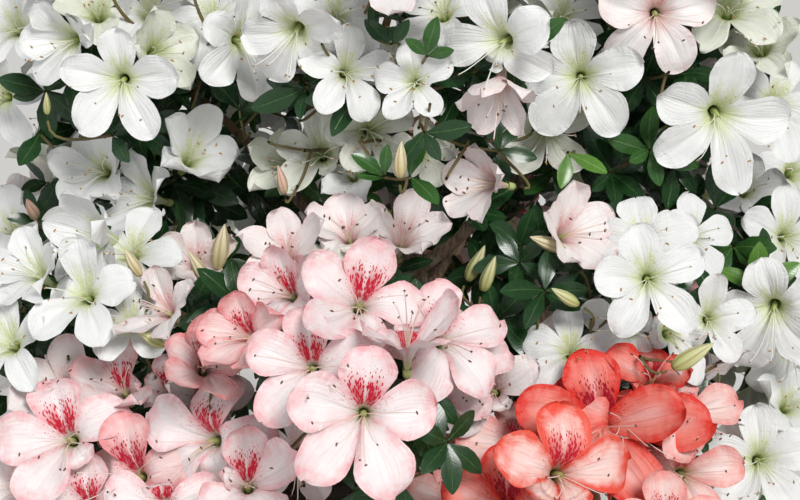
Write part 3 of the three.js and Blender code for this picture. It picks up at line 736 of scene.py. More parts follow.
# Blossom. Its lengths and heights are shares of its radius, and a form's points are (distance, height).
LOBES = 5
LOBE_TURNS = np.radians([90, 165, 227, 297, 370])
LOBE_REACH = (0.88, 0.96, 1.1, 1.12, 1.0)
MARKED_LOBES = (1.0, 0.45, 0.0, 0.0, 0.45)
TOWARDS_TOP = (0, -1, 0, 0, 1)
FUSED = 0.4
FORMS = {
    "open": {"throat": (0.36, -0.02), "tip": (1.0, -0.06), "cup": 0.05, "rise": 0.0, "strand": 1.0},
    "funnel": {"throat": (0.3, -0.06), "tip": (0.8, 0.32), "cup": 0.14, "rise": 0.7, "strand": 1.25},
}
LOBE_HALF_WIDTHS = dict(
    white=0.345, cream=0.345, blush=0.35, pale=0.375, rose=0.36, coral=0.38, scarlet=0.37, salmon=0.36
)
PETAL_CENTIMETRES = 1.7
OWN_PATTERNS = 12

# Pitches and shares of its reach that a lobe tries in turn, until it keeps out of other throats
LOBE_TRIES = (
    (0, 1), (-0.25, 1), (0.3, 1), (-0.5, 1), (-0.8, 0.95), (-0.5, 0.75), (-0.9, 0.65), (-0.4, 0.5), (0, 0.3)
)

# How much one blossom and one lobe differ from the next, and how a lobe's sheet waves, folds and curls
CUP_LEAST, CUP_SPREAD = 0.4, 1.2
THROAT_SPREAD = 0.06
TIP_SPREAD = (0.08, 0.2)
TURN_SPREAD = 0.18
LENGTH_SPREAD = 0.08
WIDTH_SPREAD = 0.1
PITCH_SPREAD = 0.26
TWIST_SPREAD = 0.11
SWAY_SPREAD = 0.09
EDGE_SCALLOP = 0.045
WAVE_HEIGHT = 0.055
RIPPLE_HEIGHT = 0.03
THROAT_FOLD = 0.06
MIDRIB_DEPTH = 0.045
MIDRIB_WIDTH = 0.22
TIP_CURL = 0.08
TIP_CURL_SPREAD = 0.13

# How near a blossom counts, in millimetres, and the room round its axis that petals and leaves keep out of
NEAR_BLOSSOM, NEAR_WHORL = 85, 95
ROOM_ALONG = (-0.8, -0.45, 0.0, 0.35)
ROOM_ASIDE = (0.1, 0.2, 0.46, 0.5)


class Throats:
    """The open throats of all blossom, which other petals and leaves keep out of."""

    def __init__(self, blossom):
        self.places = np.array([flower.place for flower in blossom])
        self.facings = np.array([flower.facing for flower in blossom])
        self.radii = np.array([flower.radius for flower in blossom])
        self.rises = np.array([FORMS[flower.form]["rise"] for flower in blossom])

    def near(self, place, reach):
        apart = np.linalg.norm(self.places - place, axis=1)
        return np.flatnonzero((apart < reach) & (apart > 1e-6))

    def measure(self, points, near):
        """How far points lie along and away from the axes of these blossoms, as shares of their radii."""
        away = points.reshape(-1, 1, 3) - self.places[near]
        along = (away * self.facings[near]).sum(axis=2)
        aside = np.sqrt(np.maximum((away * away).sum(axis=2) - along**2, 0))
        return along / self.radii[near], aside / self.radii[near]

    def blocked(self, points, near):
        """How many points lie in a throat or just in front of it."""
        along, aside = self.measure(points, near)
        room = np.interp(along, ROOM_ALONG, ROOM_ASIDE)
        return int(((along > -0.75) & (along < 0.25) & (aside < room)).sum())

    def crossed(self, points, near):
        """True where a leaf passes through a blossom's face."""
        along, aside = self.measure(points, near)
        within = aside < 1.1
        ahead = along - self.rises[near] * np.maximum(aside - 0.3, 0)
        touching = (within & (ahead > -0.26) & (ahead < 0.2)).any()
        both = (within & (ahead > 0)).any(axis=0) & (within & (ahead < 0)).any(axis=0)
        hiding = ((aside < 0.5) & (ahead > 0) & (ahead < 1.3)).any()
        return bool(touching or hiding or both.any())


def lobe_width(shares):
    """A lobe's half width along its free length, as a share of its widest."""
    rising = lerp(0.6, 1, smooth(0, 0.58, shares))
    beyond = np.clip((shares - 0.45) / 0.55, 0, 1)
    return rising * np.clip(1 - beyond**2.3, 0.0016, 1) ** 0.5


class Corolla:
    """One blossom's funnel and its five lobes, in the blossom's own directions."""

    def __init__(self, flower, random, rows, columns):
        self.flower, self.random = flower, random
        form = FORMS[flower.form]
        self.cup = form["cup"] * (CUP_LEAST + CUP_SPREAD * random.random())
        throat = np.array(form["throat"]) + (random.random(2) - 0.5) * THROAT_SPREAD
        tip = np.array(form["tip"]) + (random.random(2) - 0.5) * TIP_SPREAD
        foot = ((0.05, -TUBE_LENGTH), (0.03, -0.28))
        curve = bezier(np.array([*foot, throat, tip]) * flower.radius, np.linspace(0, 1, 48))
        run = np.concatenate([[0], np.cumsum(np.linalg.norm(np.diff(curve, axis=0), axis=1))])
        run /= run[-1]
        tube_rows = max(3, rows // 3)
        free = np.sin(np.linspace(0, math.pi / 2, rows - tube_rows + 1))[1:]
        self.along = np.concatenate([np.linspace(0, FUSED, tube_rows), FUSED + (1 - FUSED) * free])
        line = np.stack([np.interp(self.along, run, curve[:, axis]) for axis in (0, 1)], -1)
        slope = np.gradient(line, self.along, axis=0)
        self.slope = slope / np.linalg.norm(slope, axis=1)[:, None]
        self.distance, self.height = line[:, :1], line[:, 1:]
        self.opened = np.maximum(self.distance - np.interp(FUSED, self.along, line[:, 0]), 0)
        self.out = np.clip((self.along - FUSED) / (1 - FUSED), 0, 1)[:, None]
        self.side = np.linspace(-1, 1, columns)[None]
        self.turns = LOBE_TURNS + (random.random(LOBES) - 0.5) * TURN_SPREAD
        self.number = int(random.random() * OWN_PATTERNS)

    def habit(self):
        """How one lobe differs from its neighbours, as random shares from -1 to 1."""
        names = ("longer", "wider", "pitch", "twist", "sway", "curl", "phase", "ripple")
        return dict(zip(names, self.random.random(len(names)) * 2 - 1))

    def funnel(self, lobe):
        """This lobe's part of the funnel, which goes halfway to its neighbours."""
        side, turn = self.side, self.turns[lobe]
        before = (turn + self.turns[lobe - 1] - (2 * math.pi if lobe == 0 else 0)) / 2
        after = (turn + self.turns[(lobe + 1) % LOBES] + (2 * math.pi if lobe == LOBES - 1 else 0)) / 2
        angle = np.where(side < 0, turn + (turn - before) * side, turn + (after - turn) * side)
        wide, high = self.distance * np.cos(angle), self.distance * np.sin(angle)
        return np.stack([wide, high, self.height + 0 * angle], -1)

    def relief(self, habit, phases):
        """How far the lobe's sheet rises from its middle line."""
        out, side = self.out, self.side
        edge = np.abs(side)
        waves = np.sin(out * 7.5 + phases[0] + np.sign(side) * phases[1]) * edge**1.6 * out
        ripple = np.sin(out * 17 + phases[1] + side * 4) * edge**2 * out
        rise = (1 - out) ** 2 * THROAT_FOLD * side**2 + out * self.cup * side**2
        rise = rise + WAVE_HEIGHT * waves + RIPPLE_HEIGHT * ripple
        rise = rise + TWIST_SPREAD * habit["twist"] * side * out
        midrib = MIDRIB_DEPTH * np.exp(-((side / MIDRIB_WIDTH) ** 2))
        rise = rise - midrib * np.sin(math.pi * np.minimum(out * 1.1, 1))
        return rise - (TIP_CURL + TIP_CURL_SPREAD * habit["curl"]) * out**3

    def points(self, lobe, habit, pitch, reach):
        """The lobe's sheet of points, pitched forward by this much and grown to this share of its reach."""
        radius, out, side, turn = self.flower.radius, self.out, self.side, self.turns[lobe]
        phases = math.pi * (1 + habit["phase"]), math.pi * (1 + habit["ripple"])
        half = LOBE_HALF_WIDTHS[self.flower.kind] * radius * (1 + WIDTH_SPREAD * habit["wider"])
        scallop = 1 + EDGE_SCALLOP * np.sin(out * 8 + phases[1] + np.sign(side) * phases[0])
        half = half * lobe_width(out) * (0.4 + 0.6 * reach) * scallop
        radial = np.array([math.cos(turn), math.sin(turn), 0])
        across = np.array([-math.sin(turn), math.cos(turn), 0])
        front = -self.slope[:, 1:] * radial + self.slope[:, :1] * UP
        risen = self.height - (1 - reach) * np.maximum(self.height - self.height[self.opened == 0].max(), 0)
        lean = risen + (PITCH_SPREAD * habit["pitch"] + pitch) * self.opened * reach
        stretch = reach * LOBE_REACH[lobe] * (1 + LENGTH_SPREAD * habit["longer"])
        centre = (self.distance + self.opened * (stretch - 1)) * radial + lean * UP
        centre = centre + SWAY_SPREAD * radius * habit["sway"] * out**2 * across
        rise = radius * self.relief(habit, phases)
        flat = centre[:, None] + (half * side)[..., None] * across + rise[..., None] * front[:, None]
        blend = smooth(0.0, 0.45, out)[..., None]
        return self.funnel(lobe) * (1 - blend) + flat * blend

    def maps(self, lobe):
        """The lobe's maps: its baked place, centimetres across and along, its marks, and its edge."""
        ones = np.ones_like(self.out * self.side)
        along = self.along[:, None] * ones
        across = lobe_width(self.out) * PETAL_CENTIMETRES * self.side
        towards = TOWARDS_TOP[lobe]
        own = lobe + LOBES * self.number
        marked = MARKED_LOBES[lobe] * (0.5 + 0.5 * self.side * towards if towards else 1)
        return {
            "OFBake": np.stack([(lobe + 0.5 + 0.47 * self.side * ones) / LOBES, 0.01 + 0.98 * along], -1),
            "Place": np.stack([across, along * 6], -1),
            "Marks": np.stack([marked * ones, own * ones], -1),
            "Rim": np.stack([np.abs(self.side) * ones, along], -1),
        }


def own_directions(facing, top):
    """The matrix whose rows are a blossom's right, top and facing."""
    return np.stack([np.cross(top, facing), top, facing])


def add_petals(heap, flower, random, throats):
    """The blossom's lobes, each in the first pose that keeps out of other throats, or the least in them."""
    rows, columns = (19, 13) if flower.fine else (11, 7)
    corolla = Corolla(flower, random, rows, columns)
    directions = own_directions(flower.facing, flower.top)
    near = throats.near(flower.place, NEAR_BLOSSOM)
    for lobe in range(LOBES):
        habit = corolla.habit()
        tried = []
        for pitch, reach in LOBE_TRIES:
            points = corolla.points(lobe, habit, pitch, reach) @ directions + flower.place
            tried.append((throats.blocked(points, near), len(tried), points))
            if not tried[-1][0]:
                break
        points = min(tried, key=lambda row: row[:2])[2]
        heap.add(points, sheet_faces(rows, columns), **corolla.maps(lobe))


def add_stamens(strands, anthers, flower, random):
    """Filaments that bow out of the throat with anthers across their tips, and the longer style."""
    directions = own_directions(flower.facing, flower.top)
    steps, count = (8, 5) if flower.fine else (6, 4)
    long = FORMS[flower.form]["strand"]

    def strand(end, thick):
        bow = (end[0] * 0.55, end[1] * 0.9, end[2] * 0.7)
        control = np.array([(0, 0, -0.6), (0, 0, -0.1), bow, end]) * flower.radius
        path = bezier(control, np.linspace(0, 1, steps)) @ directions + flower.place
        tube(strands, path, np.linspace(thick, thick * 0.75, steps), 4)
        return path[-1], unit(path[-1] - path[-2])

    for index in range(count):
        angle = math.radians(-90 + (index / (count - 1) - 0.5) * 165) + (random.random() - 0.5) * 0.5
        spread = (0.36 + 0.34 * random.random()) * (0.6 if flower.form == "funnel" else 1)
        ahead = (0.24 + 0.3 * random.random()) * long
        tip, way = strand(np.array([spread * math.cos(angle), spread * math.sin(angle) + 0.04, ahead]), 0.4)
        cross = square_to(way, wander(random, 1))
        spine = tip + np.linspace(-1.3, 1.3, 4)[:, None] * unit(cross + 0.5 * way)
        tube(anthers, spine, (0.2, 0.6, 0.6, 0.2), 4)
    aside = (random.random() - 0.5) * 0.2
    down = -0.3 - 0.25 * random.random()
    ahead = (0.5 + 0.2 * random.random()) * long
    tip, way = strand(np.array([aside, down, ahead]), 0.5)
    tube(anthers, tip + np.linspace(-0.4, 0.9, 3)[:, None] * way, (0.5, 0.95, 0.3), 4)


def add_calyx(heap, flower):
    """The green cup behind the funnel, and the green ovary in its throat."""
    foot = tube_foot(flower)
    path = foot + flower.facing * np.array([-3.2, -1.6, 0.4, 4.2])[:, None]
    tube(heap, path, (0.9, 2.3, 2.9, 3.1), 6)
    throat = foot + flower.facing * flower.radius * np.array([0.05, 0.28, 0.46, 0.58])[:, None]
    tube(heap, throat, flower.radius * np.array([0.025, 0.05, 0.032, 0.006]), 8)


# Leaves and buds
LEAF_ROWS = 8
LEAF_COLUMNS = 5
LEAF_TRIES = 9
LEAF_HALF_WIDTH = 0.225
LEAF_TURN_SPREAD = 0.7
LEAF_ROLL_SPREAD = 0.9
LEAF_TILT, LEAF_TILT_SPREAD = 44, 54
LEAF_SHORTEST, LEAF_LENGTH_SPREAD = 0.62, 0.42
BUD_SHARES = np.array([0, 0.06, 0.2, 0.38, 0.56, 0.74, 0.88, 1.0])
BUD_WIDTHS = np.array([0.3, 0.6, 0.92, 1.0, 0.88, 0.62, 0.34, 0.05])
BUD_HALF_WIDTH = 0.175
BUD_RIB_HEIGHT = 0.11


def leaf_points(foot, way, front, length, habit, along, side):
    """A leaf's points: widest past its middle, folded along the midrib and bent down to its tip."""
    half = length * LEAF_HALF_WIDTH * np.clip(np.sin(math.pi * along**1.12), 0, 1) ** 0.66
    half = np.maximum(half * lerp(0.4, 1, smooth(0, 0.32, along)), length * 0.016)
    fold = (0.12 + 0.22 * habit[0]) * np.abs(side) * half
    bend = length * (0.08 * along - (0.1 + 0.24 * habit[1]) * along**2)
    edge = -0.04 * length * side**2 * np.sin(math.pi * along)
    sway = (habit[2] - 0.5) * 0.16 * length * along**2
    points = foot + (along * length * np.ones_like(side))[..., None] * way
    points = points + (half * side + sway)[..., None] * np.cross(front, way)
    return points + (fold + bend + edge)[..., None] * front


def add_whorl(heap, whorl, random, throats):
    """A whorl's leaves. One that would cross a blossom is turned again, and left out after the last try."""
    right = square_to(whorl.facing, wander(random, 1))
    ahead = np.cross(whorl.facing, right)
    spin = random.random() * 2 * math.pi
    near = throats.near(whorl.place, NEAR_WHORL)
    along = np.sin(np.linspace(0, math.pi / 2, LEAF_ROWS))[:, None] ** 1.1
    side = np.linspace(-1, 1, LEAF_COLUMNS)[None]
    ones = np.ones_like(along * side)
    maps = {
        "OFBake": np.stack([0.5 + 0.48 * side * ones, 0.01 + 0.98 * along * ones], -1),
        "Place": np.stack([0.72 * side * np.sin(math.pi * along) ** 0.66, 3.2 * along * ones], -1),
        "Rim": np.stack([np.abs(side) * ones, along * ones], -1),
    }
    for index in range(whorl.count):
        for _ in range(LEAF_TRIES):
            angle = spin + 2 * math.pi * index / whorl.count + (random.random() - 0.5) * LEAF_TURN_SPREAD
            radial = right * math.cos(angle) + ahead * math.sin(angle)
            tilt = math.radians(LEAF_TILT + LEAF_TILT_SPREAD * random.random())
            way = whorl.facing * math.cos(tilt) + radial * math.sin(tilt)
            front = whorl.facing * math.sin(tilt) - radial * math.cos(tilt)
            roll = (random.random() - 0.5) * LEAF_ROLL_SPREAD
            front = unit(front * math.cos(roll) + np.cross(way, front) * math.sin(roll))
            length = whorl.length * (LEAF_SHORTEST + LEAF_LENGTH_SPREAD * random.random())
            foot = whorl.place - whorl.facing * (1.1 * index) + radial * 0.8
            points = leaf_points(foot, way, front, length, random.random(3), along, side)
            if not len(near) or not (throats.blocked(points, near) or throats.crossed(points, near)):
                heap.add(points, sheet_faces(LEAF_ROWS, LEAF_COLUMNS), **maps)
                break


def add_bud(heap, bud, random):
    """A pointed bud, whose folded lobes wind round it."""
    bend = wander(random, 0.05 * bud.length)
    path = bud.place + BUD_SHARES[:, None] * bud.length * bud.facing + (BUD_SHARES**2)[:, None] * bend

    def ribs(rings, angles):
        return BUD_RIB_HEIGHT * np.cos(LOBES * angles[None] + 2.2 * BUD_SHARES[rings][:, None])

    tube(heap, path, BUD_WIDTHS * bud.length * BUD_HALF_WIDTH, 3 * LOBES, ribs)


# Materials. Two colours are a piece's foot and tip, or a leaf's blade and rib. Bark has a young, an old and a
# pale colour.
PALE_STREAK = (0.9, 0.9, 0.9)
THROAT_GREEN = (0.62, 0.72, 0.3)
# Painted shade for the grooves between a bud's folded lobes
BUD_GROOVE_SHADE = (0.36, 0.2, 0.08)
BUD_FOOT = (0.17, 0.12, 0.04)
CLAY_BLOOM = (0.62, 0.5, 0.4)
CLAY_FOOT_DARK = (0.14, 0.09, 0.06)
PEAT_DARK = (0.012, 0.008, 0.005)
PEAT_PALE = (0.075, 0.048, 0.03)
PEAT_DAMP = (0.028, 0.018, 0.012)
BARK_COLOURS = ((0.24, 0.17, 0.12), (0.075, 0.05, 0.036), (0.36, 0.31, 0.26))
CRUMB_COLOURS = ((0.035, 0.02, 0.012), (0.12, 0.07, 0.04))
TWIG_COLOURS = {
    "brown": ((0.16, 0.1, 0.065), (0.2, 0.14, 0.07)),
    "young": ((0.17, 0.11, 0.06), (0.2, 0.2, 0.07)),
}
LEAF_COLOURS = {
    "dark": ((0.012, 0.052, 0.013), (0.07, 0.16, 0.045)),
    "middle": ((0.032, 0.11, 0.02), (0.14, 0.27, 0.08)),
    "fresh": ((0.1, 0.24, 0.036), (0.28, 0.43, 0.13)),
}
BUD_COLOURS = {
    "green_bud": ((0.46, 0.5, 0.16), (0.8, 0.8, 0.5)),
    "cream_bud": ((0.6, 0.5, 0.24), (0.86, 0.8, 0.58)),
    "pink_bud": ((0.66, 0.5, 0.34), (0.8, 0.46, 0.4)),
}

# The blossom's finer pieces: name, material, slot, and colours
FINE_PIECES = (
    ("filaments_white", "filament_white", "white_blossom", (0.82, 0.84, 0.6), (0.93, 0.92, 0.86)),
    ("filaments_pink", "filament_pink", "pink_blossom", (0.9, 0.74, 0.58), (0.93, 0.78, 0.73)),
    ("anthers_tan", "anther_tan", "bark", (0.36, 0.2, 0.07), (0.5, 0.32, 0.13)),
    ("anthers_brown", "anther_brown", "bark", (0.12, 0.06, 0.035), (0.2, 0.1, 0.06)),
    ("calyxes", "calyx", "leaf", (0.16, 0.2, 0.06), (0.5, 0.6, 0.22)),
)


def between(first, second, share):
    """A colour this far on the way from the first to the second."""
    return tuple(lerp(a, b, share) for a, b in zip(first, second))


def scaled(colour, factor):
    """A darker or lighter colour."""
    return tuple(min(1, factor * part) for part in colour)


class Shade:
    """A socket whose sums add Math nodes."""

    def __init__(self, finish, socket):
        self.finish, self.socket = finish, socket

    def sum(self, operation, *values, clamp=False):
        settings = {"operation": operation, "use_clamp": clamp}
        node = self.finish.add("ShaderNodeMath", settings, dict(enumerate(values)))
        return Shade(self.finish, node.outputs[0])

    def __add__(self, other):
        return self.sum("ADD", self, other)

    def __sub__(self, other):
        return self.sum("SUBTRACT", self, other)

    def __rsub__(self, other):
        return self.sum("SUBTRACT", other, self)

    def __mul__(self, other):
        return self.sum("MULTIPLY", self, other)

    def __pow__(self, other):
        return self.sum("POWER", self, other)

    __radd__, __rmul__ = __add__, __mul__

    def size(self):
        return self.sum("ABSOLUTE", self)

    def cosine(self):
        return self.sum("COSINE", self)

    def fraction(self):
        return self.sum("FRACT", self)

    def larger(self, other):
        return self.sum("MAXIMUM", self, other)

    def held(self):
        return self.sum("ADD", self, 0.0, clamp=True)

    def smooth(self, low, high):
        """0 at low and 1 at high, smoothly. low may be the larger."""
        node = self.finish.add(
            "ShaderNodeMapRange",
            {"interpolation_type": "SMOOTHSTEP"},
            {"Value": self, "From Min": low, "From Max": high},
        )
        return Shade(self.finish, node.outputs["Result"])


class Nodes:
    """A tree of shader nodes, and short ways to add to it."""

    def __init__(self, tree):
        self.tree = tree

    def feed(self, socket, value):
        if isinstance(value, Shade):
            value = value.socket
        if isinstance(value, bpy.types.NodeSocket):
            self.tree.links.new(value, socket)
        elif isinstance(value, tuple) and len(value) == 3 and socket.type == "RGBA":
            socket.default_value = (*value, 1)
        else:
            socket.default_value = value

    def add(self, kind, settings=None, sockets=None):
        node = self.tree.nodes.new(kind)
        for name, value in (settings or {}).items():
            setattr(node, name, value)
        for name, value in (sockets or {}).items():
            self.feed(node.inputs[name], value)
        return node

    def mix(self, share, first, second):
        node = self.add("ShaderNodeMix", {"data_type": "RGBA"}, {0: share, 6: first, 7: second})
        return node.outputs[2]


class Finish(Nodes):
    """A material being made."""

    def __init__(self, name, **constants):
        self.material = bpy.data.materials.new(name)
        self.material.use_nodes = True
        super().__init__(self.material.node_tree)
        self.shader = self.tree.nodes["Principled BSDF"]
        for socket, value in constants.items():
            self.shader.inputs[socket.replace("_", " ")].default_value = value

    def map(self, name):
        """The across and along of a map, as two shades."""
        node = self.add("ShaderNodeUVMap", {"uv_map": name})
        parts = self.add("ShaderNodeSeparateXYZ", None, {0: node.outputs[0]})
        return Shade(self, parts.outputs[0]), Shade(self, parts.outputs[1])

    def point(self, x, y, z=0.0):
        return self.add("ShaderNodeCombineXYZ", None, {0: x, 1: y, 2: z}).outputs[0]

    def place(self):
        """Where a point is on the object, in millimetres."""
        node = self.add("ShaderNodeTexCoord")
        sockets = {0: node.outputs["Object"], "Scale": 1 / MM}
        return self.add("ShaderNodeVectorMath", {"operation": "SCALE"}, sockets).outputs[0]

    def stretched(self, vector, factors):
        return self.add("ShaderNodeVectorMath", {"operation": "MULTIPLY"}, {0: vector, 1: factors}).outputs[0]

    def noise(self, vector, scale, detail=2.0, roughness=0.5):
        sockets = {"Vector": vector, "Scale": scale, "Detail": detail, "Roughness": roughness}
        return Shade(self, self.add("ShaderNodeTexNoise", None, sockets).outputs["Fac"])

    def cells(self, vector, scale):
        node = self.add("ShaderNodeTexVoronoi", None, {"Vector": vector, "Scale": scale})
        return Shade(self, node.outputs["Distance"])

    def bump(self, height, strength, distance):
        sockets = {"Height": height, "Strength": strength, "Distance": distance}
        self.feed(self.shader.inputs["Normal"], self.add("ShaderNodeBump", None, sockets).outputs[0])

    def finish(self, colour, roughness=None):
        self.feed(self.shader.inputs["Base Color"], colour)
        if roughness is not None:
            self.feed(self.shader.inputs["Roughness"], roughness)
        return self.material


Tint = namedtuple("Tint", "body edge line flush throat reach spot fill veins slot")
TINTS = {
    name: Tint(*row)
    for name, *row in (
        (
            "white", (0.84, 0.85, 0.85), (0.88, 0.89, 0.885), (0.66, 0.71, 0.64), 0.5,
            (0.7, 0.78, 0.32), 0.46, (0.56, 0.62, 0.16), 0.42, 0.3, "white_blossom",
        ),
        (
            "cream", (0.81, 0.83, 0.73), (0.87, 0.88, 0.82), (0.58, 0.66, 0.4), 0.5,
            (0.48, 0.58, 0.16), 0.5, (0.44, 0.52, 0.12), 0.36, 0.36, "white_blossom",
        ),
        (
            "blush", (0.91, 0.875, 0.865), (0.89, 0.7, 0.69), (0.87, 0.64, 0.64), 0.5,
            (0.86, 0.5, 0.5), 0.46, (0.74, 0.2, 0.2), 0.4, 0.4, "pink_blossom",
        ),
        (
            "pale", (0.91, 0.835, 0.84), (0.87, 0.43, 0.46), (0.87, 0.58, 0.6), 0.8,
            (0.66, 0.6, 0.2), 0.26, (0.58, 0.008, 0.035), 0.9, 0.3, "pink_blossom",
        ),
        (
            "rose", (0.89, 0.66, 0.65), (0.83, 0.29, 0.3), (0.82, 0.36, 0.37), 0.9,
            (0.66, 0.4, 0.18), 0.24, (0.52, 0.01, 0.04), 0.88, 0.5, "pink_blossom",
        ),
        (
            "coral", (0.91, 0.6, 0.55), (0.81, 0.085, 0.05), (0.82, 0.26, 0.21), 1.3,
            (0.4, 0.2, 0.05), 0.26, (0.56, 0.008, 0.028), 0.9, 0.4, "coral_blossom",
        ),
        (
            "scarlet", (0.87, 0.27, 0.22), (0.74, 0.035, 0.022), (0.66, 0.05, 0.03), 1.1,
            (0.14, 0.05, 0.012), 0.3, (0.36, 0.004, 0.018), 0.95, 0.3, "coral_blossom",
        ),
        (
            "salmon", (0.9, 0.66, 0.62), (0.83, 0.3, 0.28), (0.82, 0.34, 0.3), 0.9,
            (0.52, 0.44, 0.14), 0.36, (0.6, 0.03, 0.05), 0.8, 0.5, "coral_blossom",
        ),
    )
}


def petal_material(name, tint):
    """Thin petals: a flushed margin, fine veins, a green-yellow throat, and flecks on the top lobe."""
    finish = Finish(f"petal_{name}", Roughness=0.48, Specular_IOR_Level=0.3)
    edge, along = finish.map("Rim")
    across, up = finish.map("Place")
    marked, lobe = finish.map("Marks")
    own = finish.point(across + lobe * 9.0, up, lobe * 3.0)
    veins = finish.noise(finish.point(edge * 6.0, along * 1.3, lobe * 3.0 + across * 0.5), 2.0, 3.0)
    clouds = finish.noise(own, 1.3, 3.0)
    crinkles = finish.noise(finish.point(along * 20.0, edge * 2.0, lobe * 3.0 + across * 0.4), 1.5, 2.0)
    margin = edge.smooth(0.4, 1.05).larger(along.smooth(0.72, 1.03))
    uneven = (crinkles * 1.6 + clouds * 1.7 - 1.65) * (0.5 / tint.flush**2)
    flush = margin * (uneven + 0.8) + clouds * 1.2 + marked * 0.22 - 0.62
    colour = finish.mix((flush * tint.flush).held(), tint.body, tint.edge)
    streak = edge.smooth(0.5, 0.0) * along.smooth(0.34, 0.56) * along.smooth(0.96, 0.66)
    colour = finish.mix(streak * (clouds * 1.2), colour, between(tint.body, PALE_STREAK, 0.5))
    lines = (veins.smooth(0.5, 0.68) * (1.0 - along.smooth(0.7, 1.0) * 0.6) * tint.veins).held()
    colour = finish.mix(lines, colour, tint.line)
    glow = (along + edge * 0.1 - veins * 0.3 + 0.15).smooth(tint.reach + 0.14, tint.reach - 0.18)
    colour = finish.mix(glow * 0.75, colour, tint.throat)
    colour = finish.mix(along.smooth(0.3, 0.05) * 0.8, colour, THROAT_GREEN)
    dense = (across.size() - 0.5).size().smooth(1.5, 0.0) * marked
    dense = dense * along.smooth(0.2, 0.34) * along.smooth(0.94, 0.4)
    dense = dense * (across.size().smooth(0.0, 0.28) * 0.3 + 0.7)
    colour = finish.mix(dense.smooth(0.1, 0.8) * tint.fill * 0.42, colour, tint.edge)
    core = between(tint.spot, tint.body, 0.26)
    colour = finish.mix(((dense * dense * 1.7 + veins * 1.1 - 0.84) * tint.fill).held(), colour, core)
    spots = finish.cells(finish.stretched(own, (1.0, 0.38, 1.0)), 8.0)
    flecks = (dense * tint.fill * 0.74 - spots * (0.7 + clouds * 0.5)).smooth(-0.03, 0.06)
    colour = finish.mix(flecks, colour, tint.spot)
    groove = edge.smooth(0.16, 0.0) * along.smooth(1.0, 0.5)
    finish.bump(veins * 0.7 + clouds * 0.5 + crinkles * margin * 0.9 - groove * 0.5, 0.75, 0.0013)
    return finish.finish(colour)


def filament_material(name, foot, tip):
    finish = Finish(name, Roughness=0.45, Specular_IOR_Level=0.35)
    along = finish.map("Rim")[1]
    return finish.finish(finish.mix(along.smooth(0.1, 0.8), foot, tip))


def leaf_material(name, blade, rib):
    """Leathery leaves: darker and lighter clouds, a pale midrib and faint side veins under a soft gloss."""
    finish = Finish(name, Roughness=0.3, Specular_IOR_Level=0.35, Coat_Weight=0.3, Coat_Roughness=0.12)
    edge, along = finish.map("Rim")
    across, up = finish.map("Place")
    own = finish.point(across, up)
    clouds = finish.noise(own, 1.1, 2.0)
    colour = finish.mix((clouds * 0.8 + up * 0.1 - 0.2).held(), scaled(blade, 0.75), scaled(blade, 1.35))
    slanted = (up * 4.2 - across.size() * 3.4).fraction()
    side_veins = (slanted - 0.5).size().smooth(0.09, 0.0) * edge.smooth(0.95, 0.3)
    midrib = across.size().smooth(0.07, 0.015) * along.smooth(0.99, 0.7)
    colour = finish.mix((side_veins * 0.3 + midrib * 0.6).held(), colour, rib)
    finish.bump(clouds * 0.2 - side_veins * 0.6 - midrib, 0.6, 0.0008)
    return finish.finish(colour, 0.18 + clouds * 0.18)


def bud_material(name, body, tip):
    """A bud: its lobes' grooves wind round it, darkened by painted shade, and its foot is brown."""
    finish = Finish(name, Roughness=0.5)
    turn, along = finish.map("Rim")
    streaks = finish.noise(finish.point(turn * 12.0, along * 1.2), 1.5, 3.0)
    colour = finish.mix((along.smooth(0.1, 0.95) * 0.7 + streaks * 0.5 - 0.2).held(), body, tip)
    # Painted shade: the grooves between the folded lobes are darkened towards a brown.
    folds = (turn * 10 * math.pi + along * 2.2).cosine().smooth(-0.35, -1.0)
    colour = finish.mix(folds * 0.5, colour, BUD_GROOVE_SHADE)
    colour = finish.mix(along.smooth(0.2, 0.02), colour, BUD_FOOT)
    finish.bump(streaks - folds, 0.5, 0.0008)
    return finish.finish(colour)


def bark_material(name, young, old, pale):
    """Thin grey-brown bark, fissured lengthwise."""
    finish = Finish(name, Roughness=0.8, Specular_IOR_Level=0.25)
    place = finish.place()
    fissures = finish.noise(finish.stretched(place, (1.0, 1.0, 0.16)), 0.45, 6.0, 0.65)
    blotches = finish.noise(place, 0.06, 4.0)
    colour = finish.mix(fissures.smooth(0.34, 0.66), old, young)
    colour = finish.mix(blotches.smooth(0.5, 0.72) * 0.6, colour, pale)
    finish.bump(fissures, 0.7, 0.0012)
    return finish.finish(colour, 0.66 + fissures * 0.3)


def twig_material(name, foot, tip):
    finish = Finish(name, Roughness=0.7, Specular_IOR_Level=0.3)
    turn, along = finish.map("Rim")
    rings = finish.noise(finish.point(turn * 2.0, along * 14.0), 1.0, 4.0, 0.6)
    colour = finish.mix((along * 0.8 + rings * 0.5 - 0.2).held(), foot, tip)
    finish.bump(rings, 0.4, 0.0006)
    return finish.finish(colour)


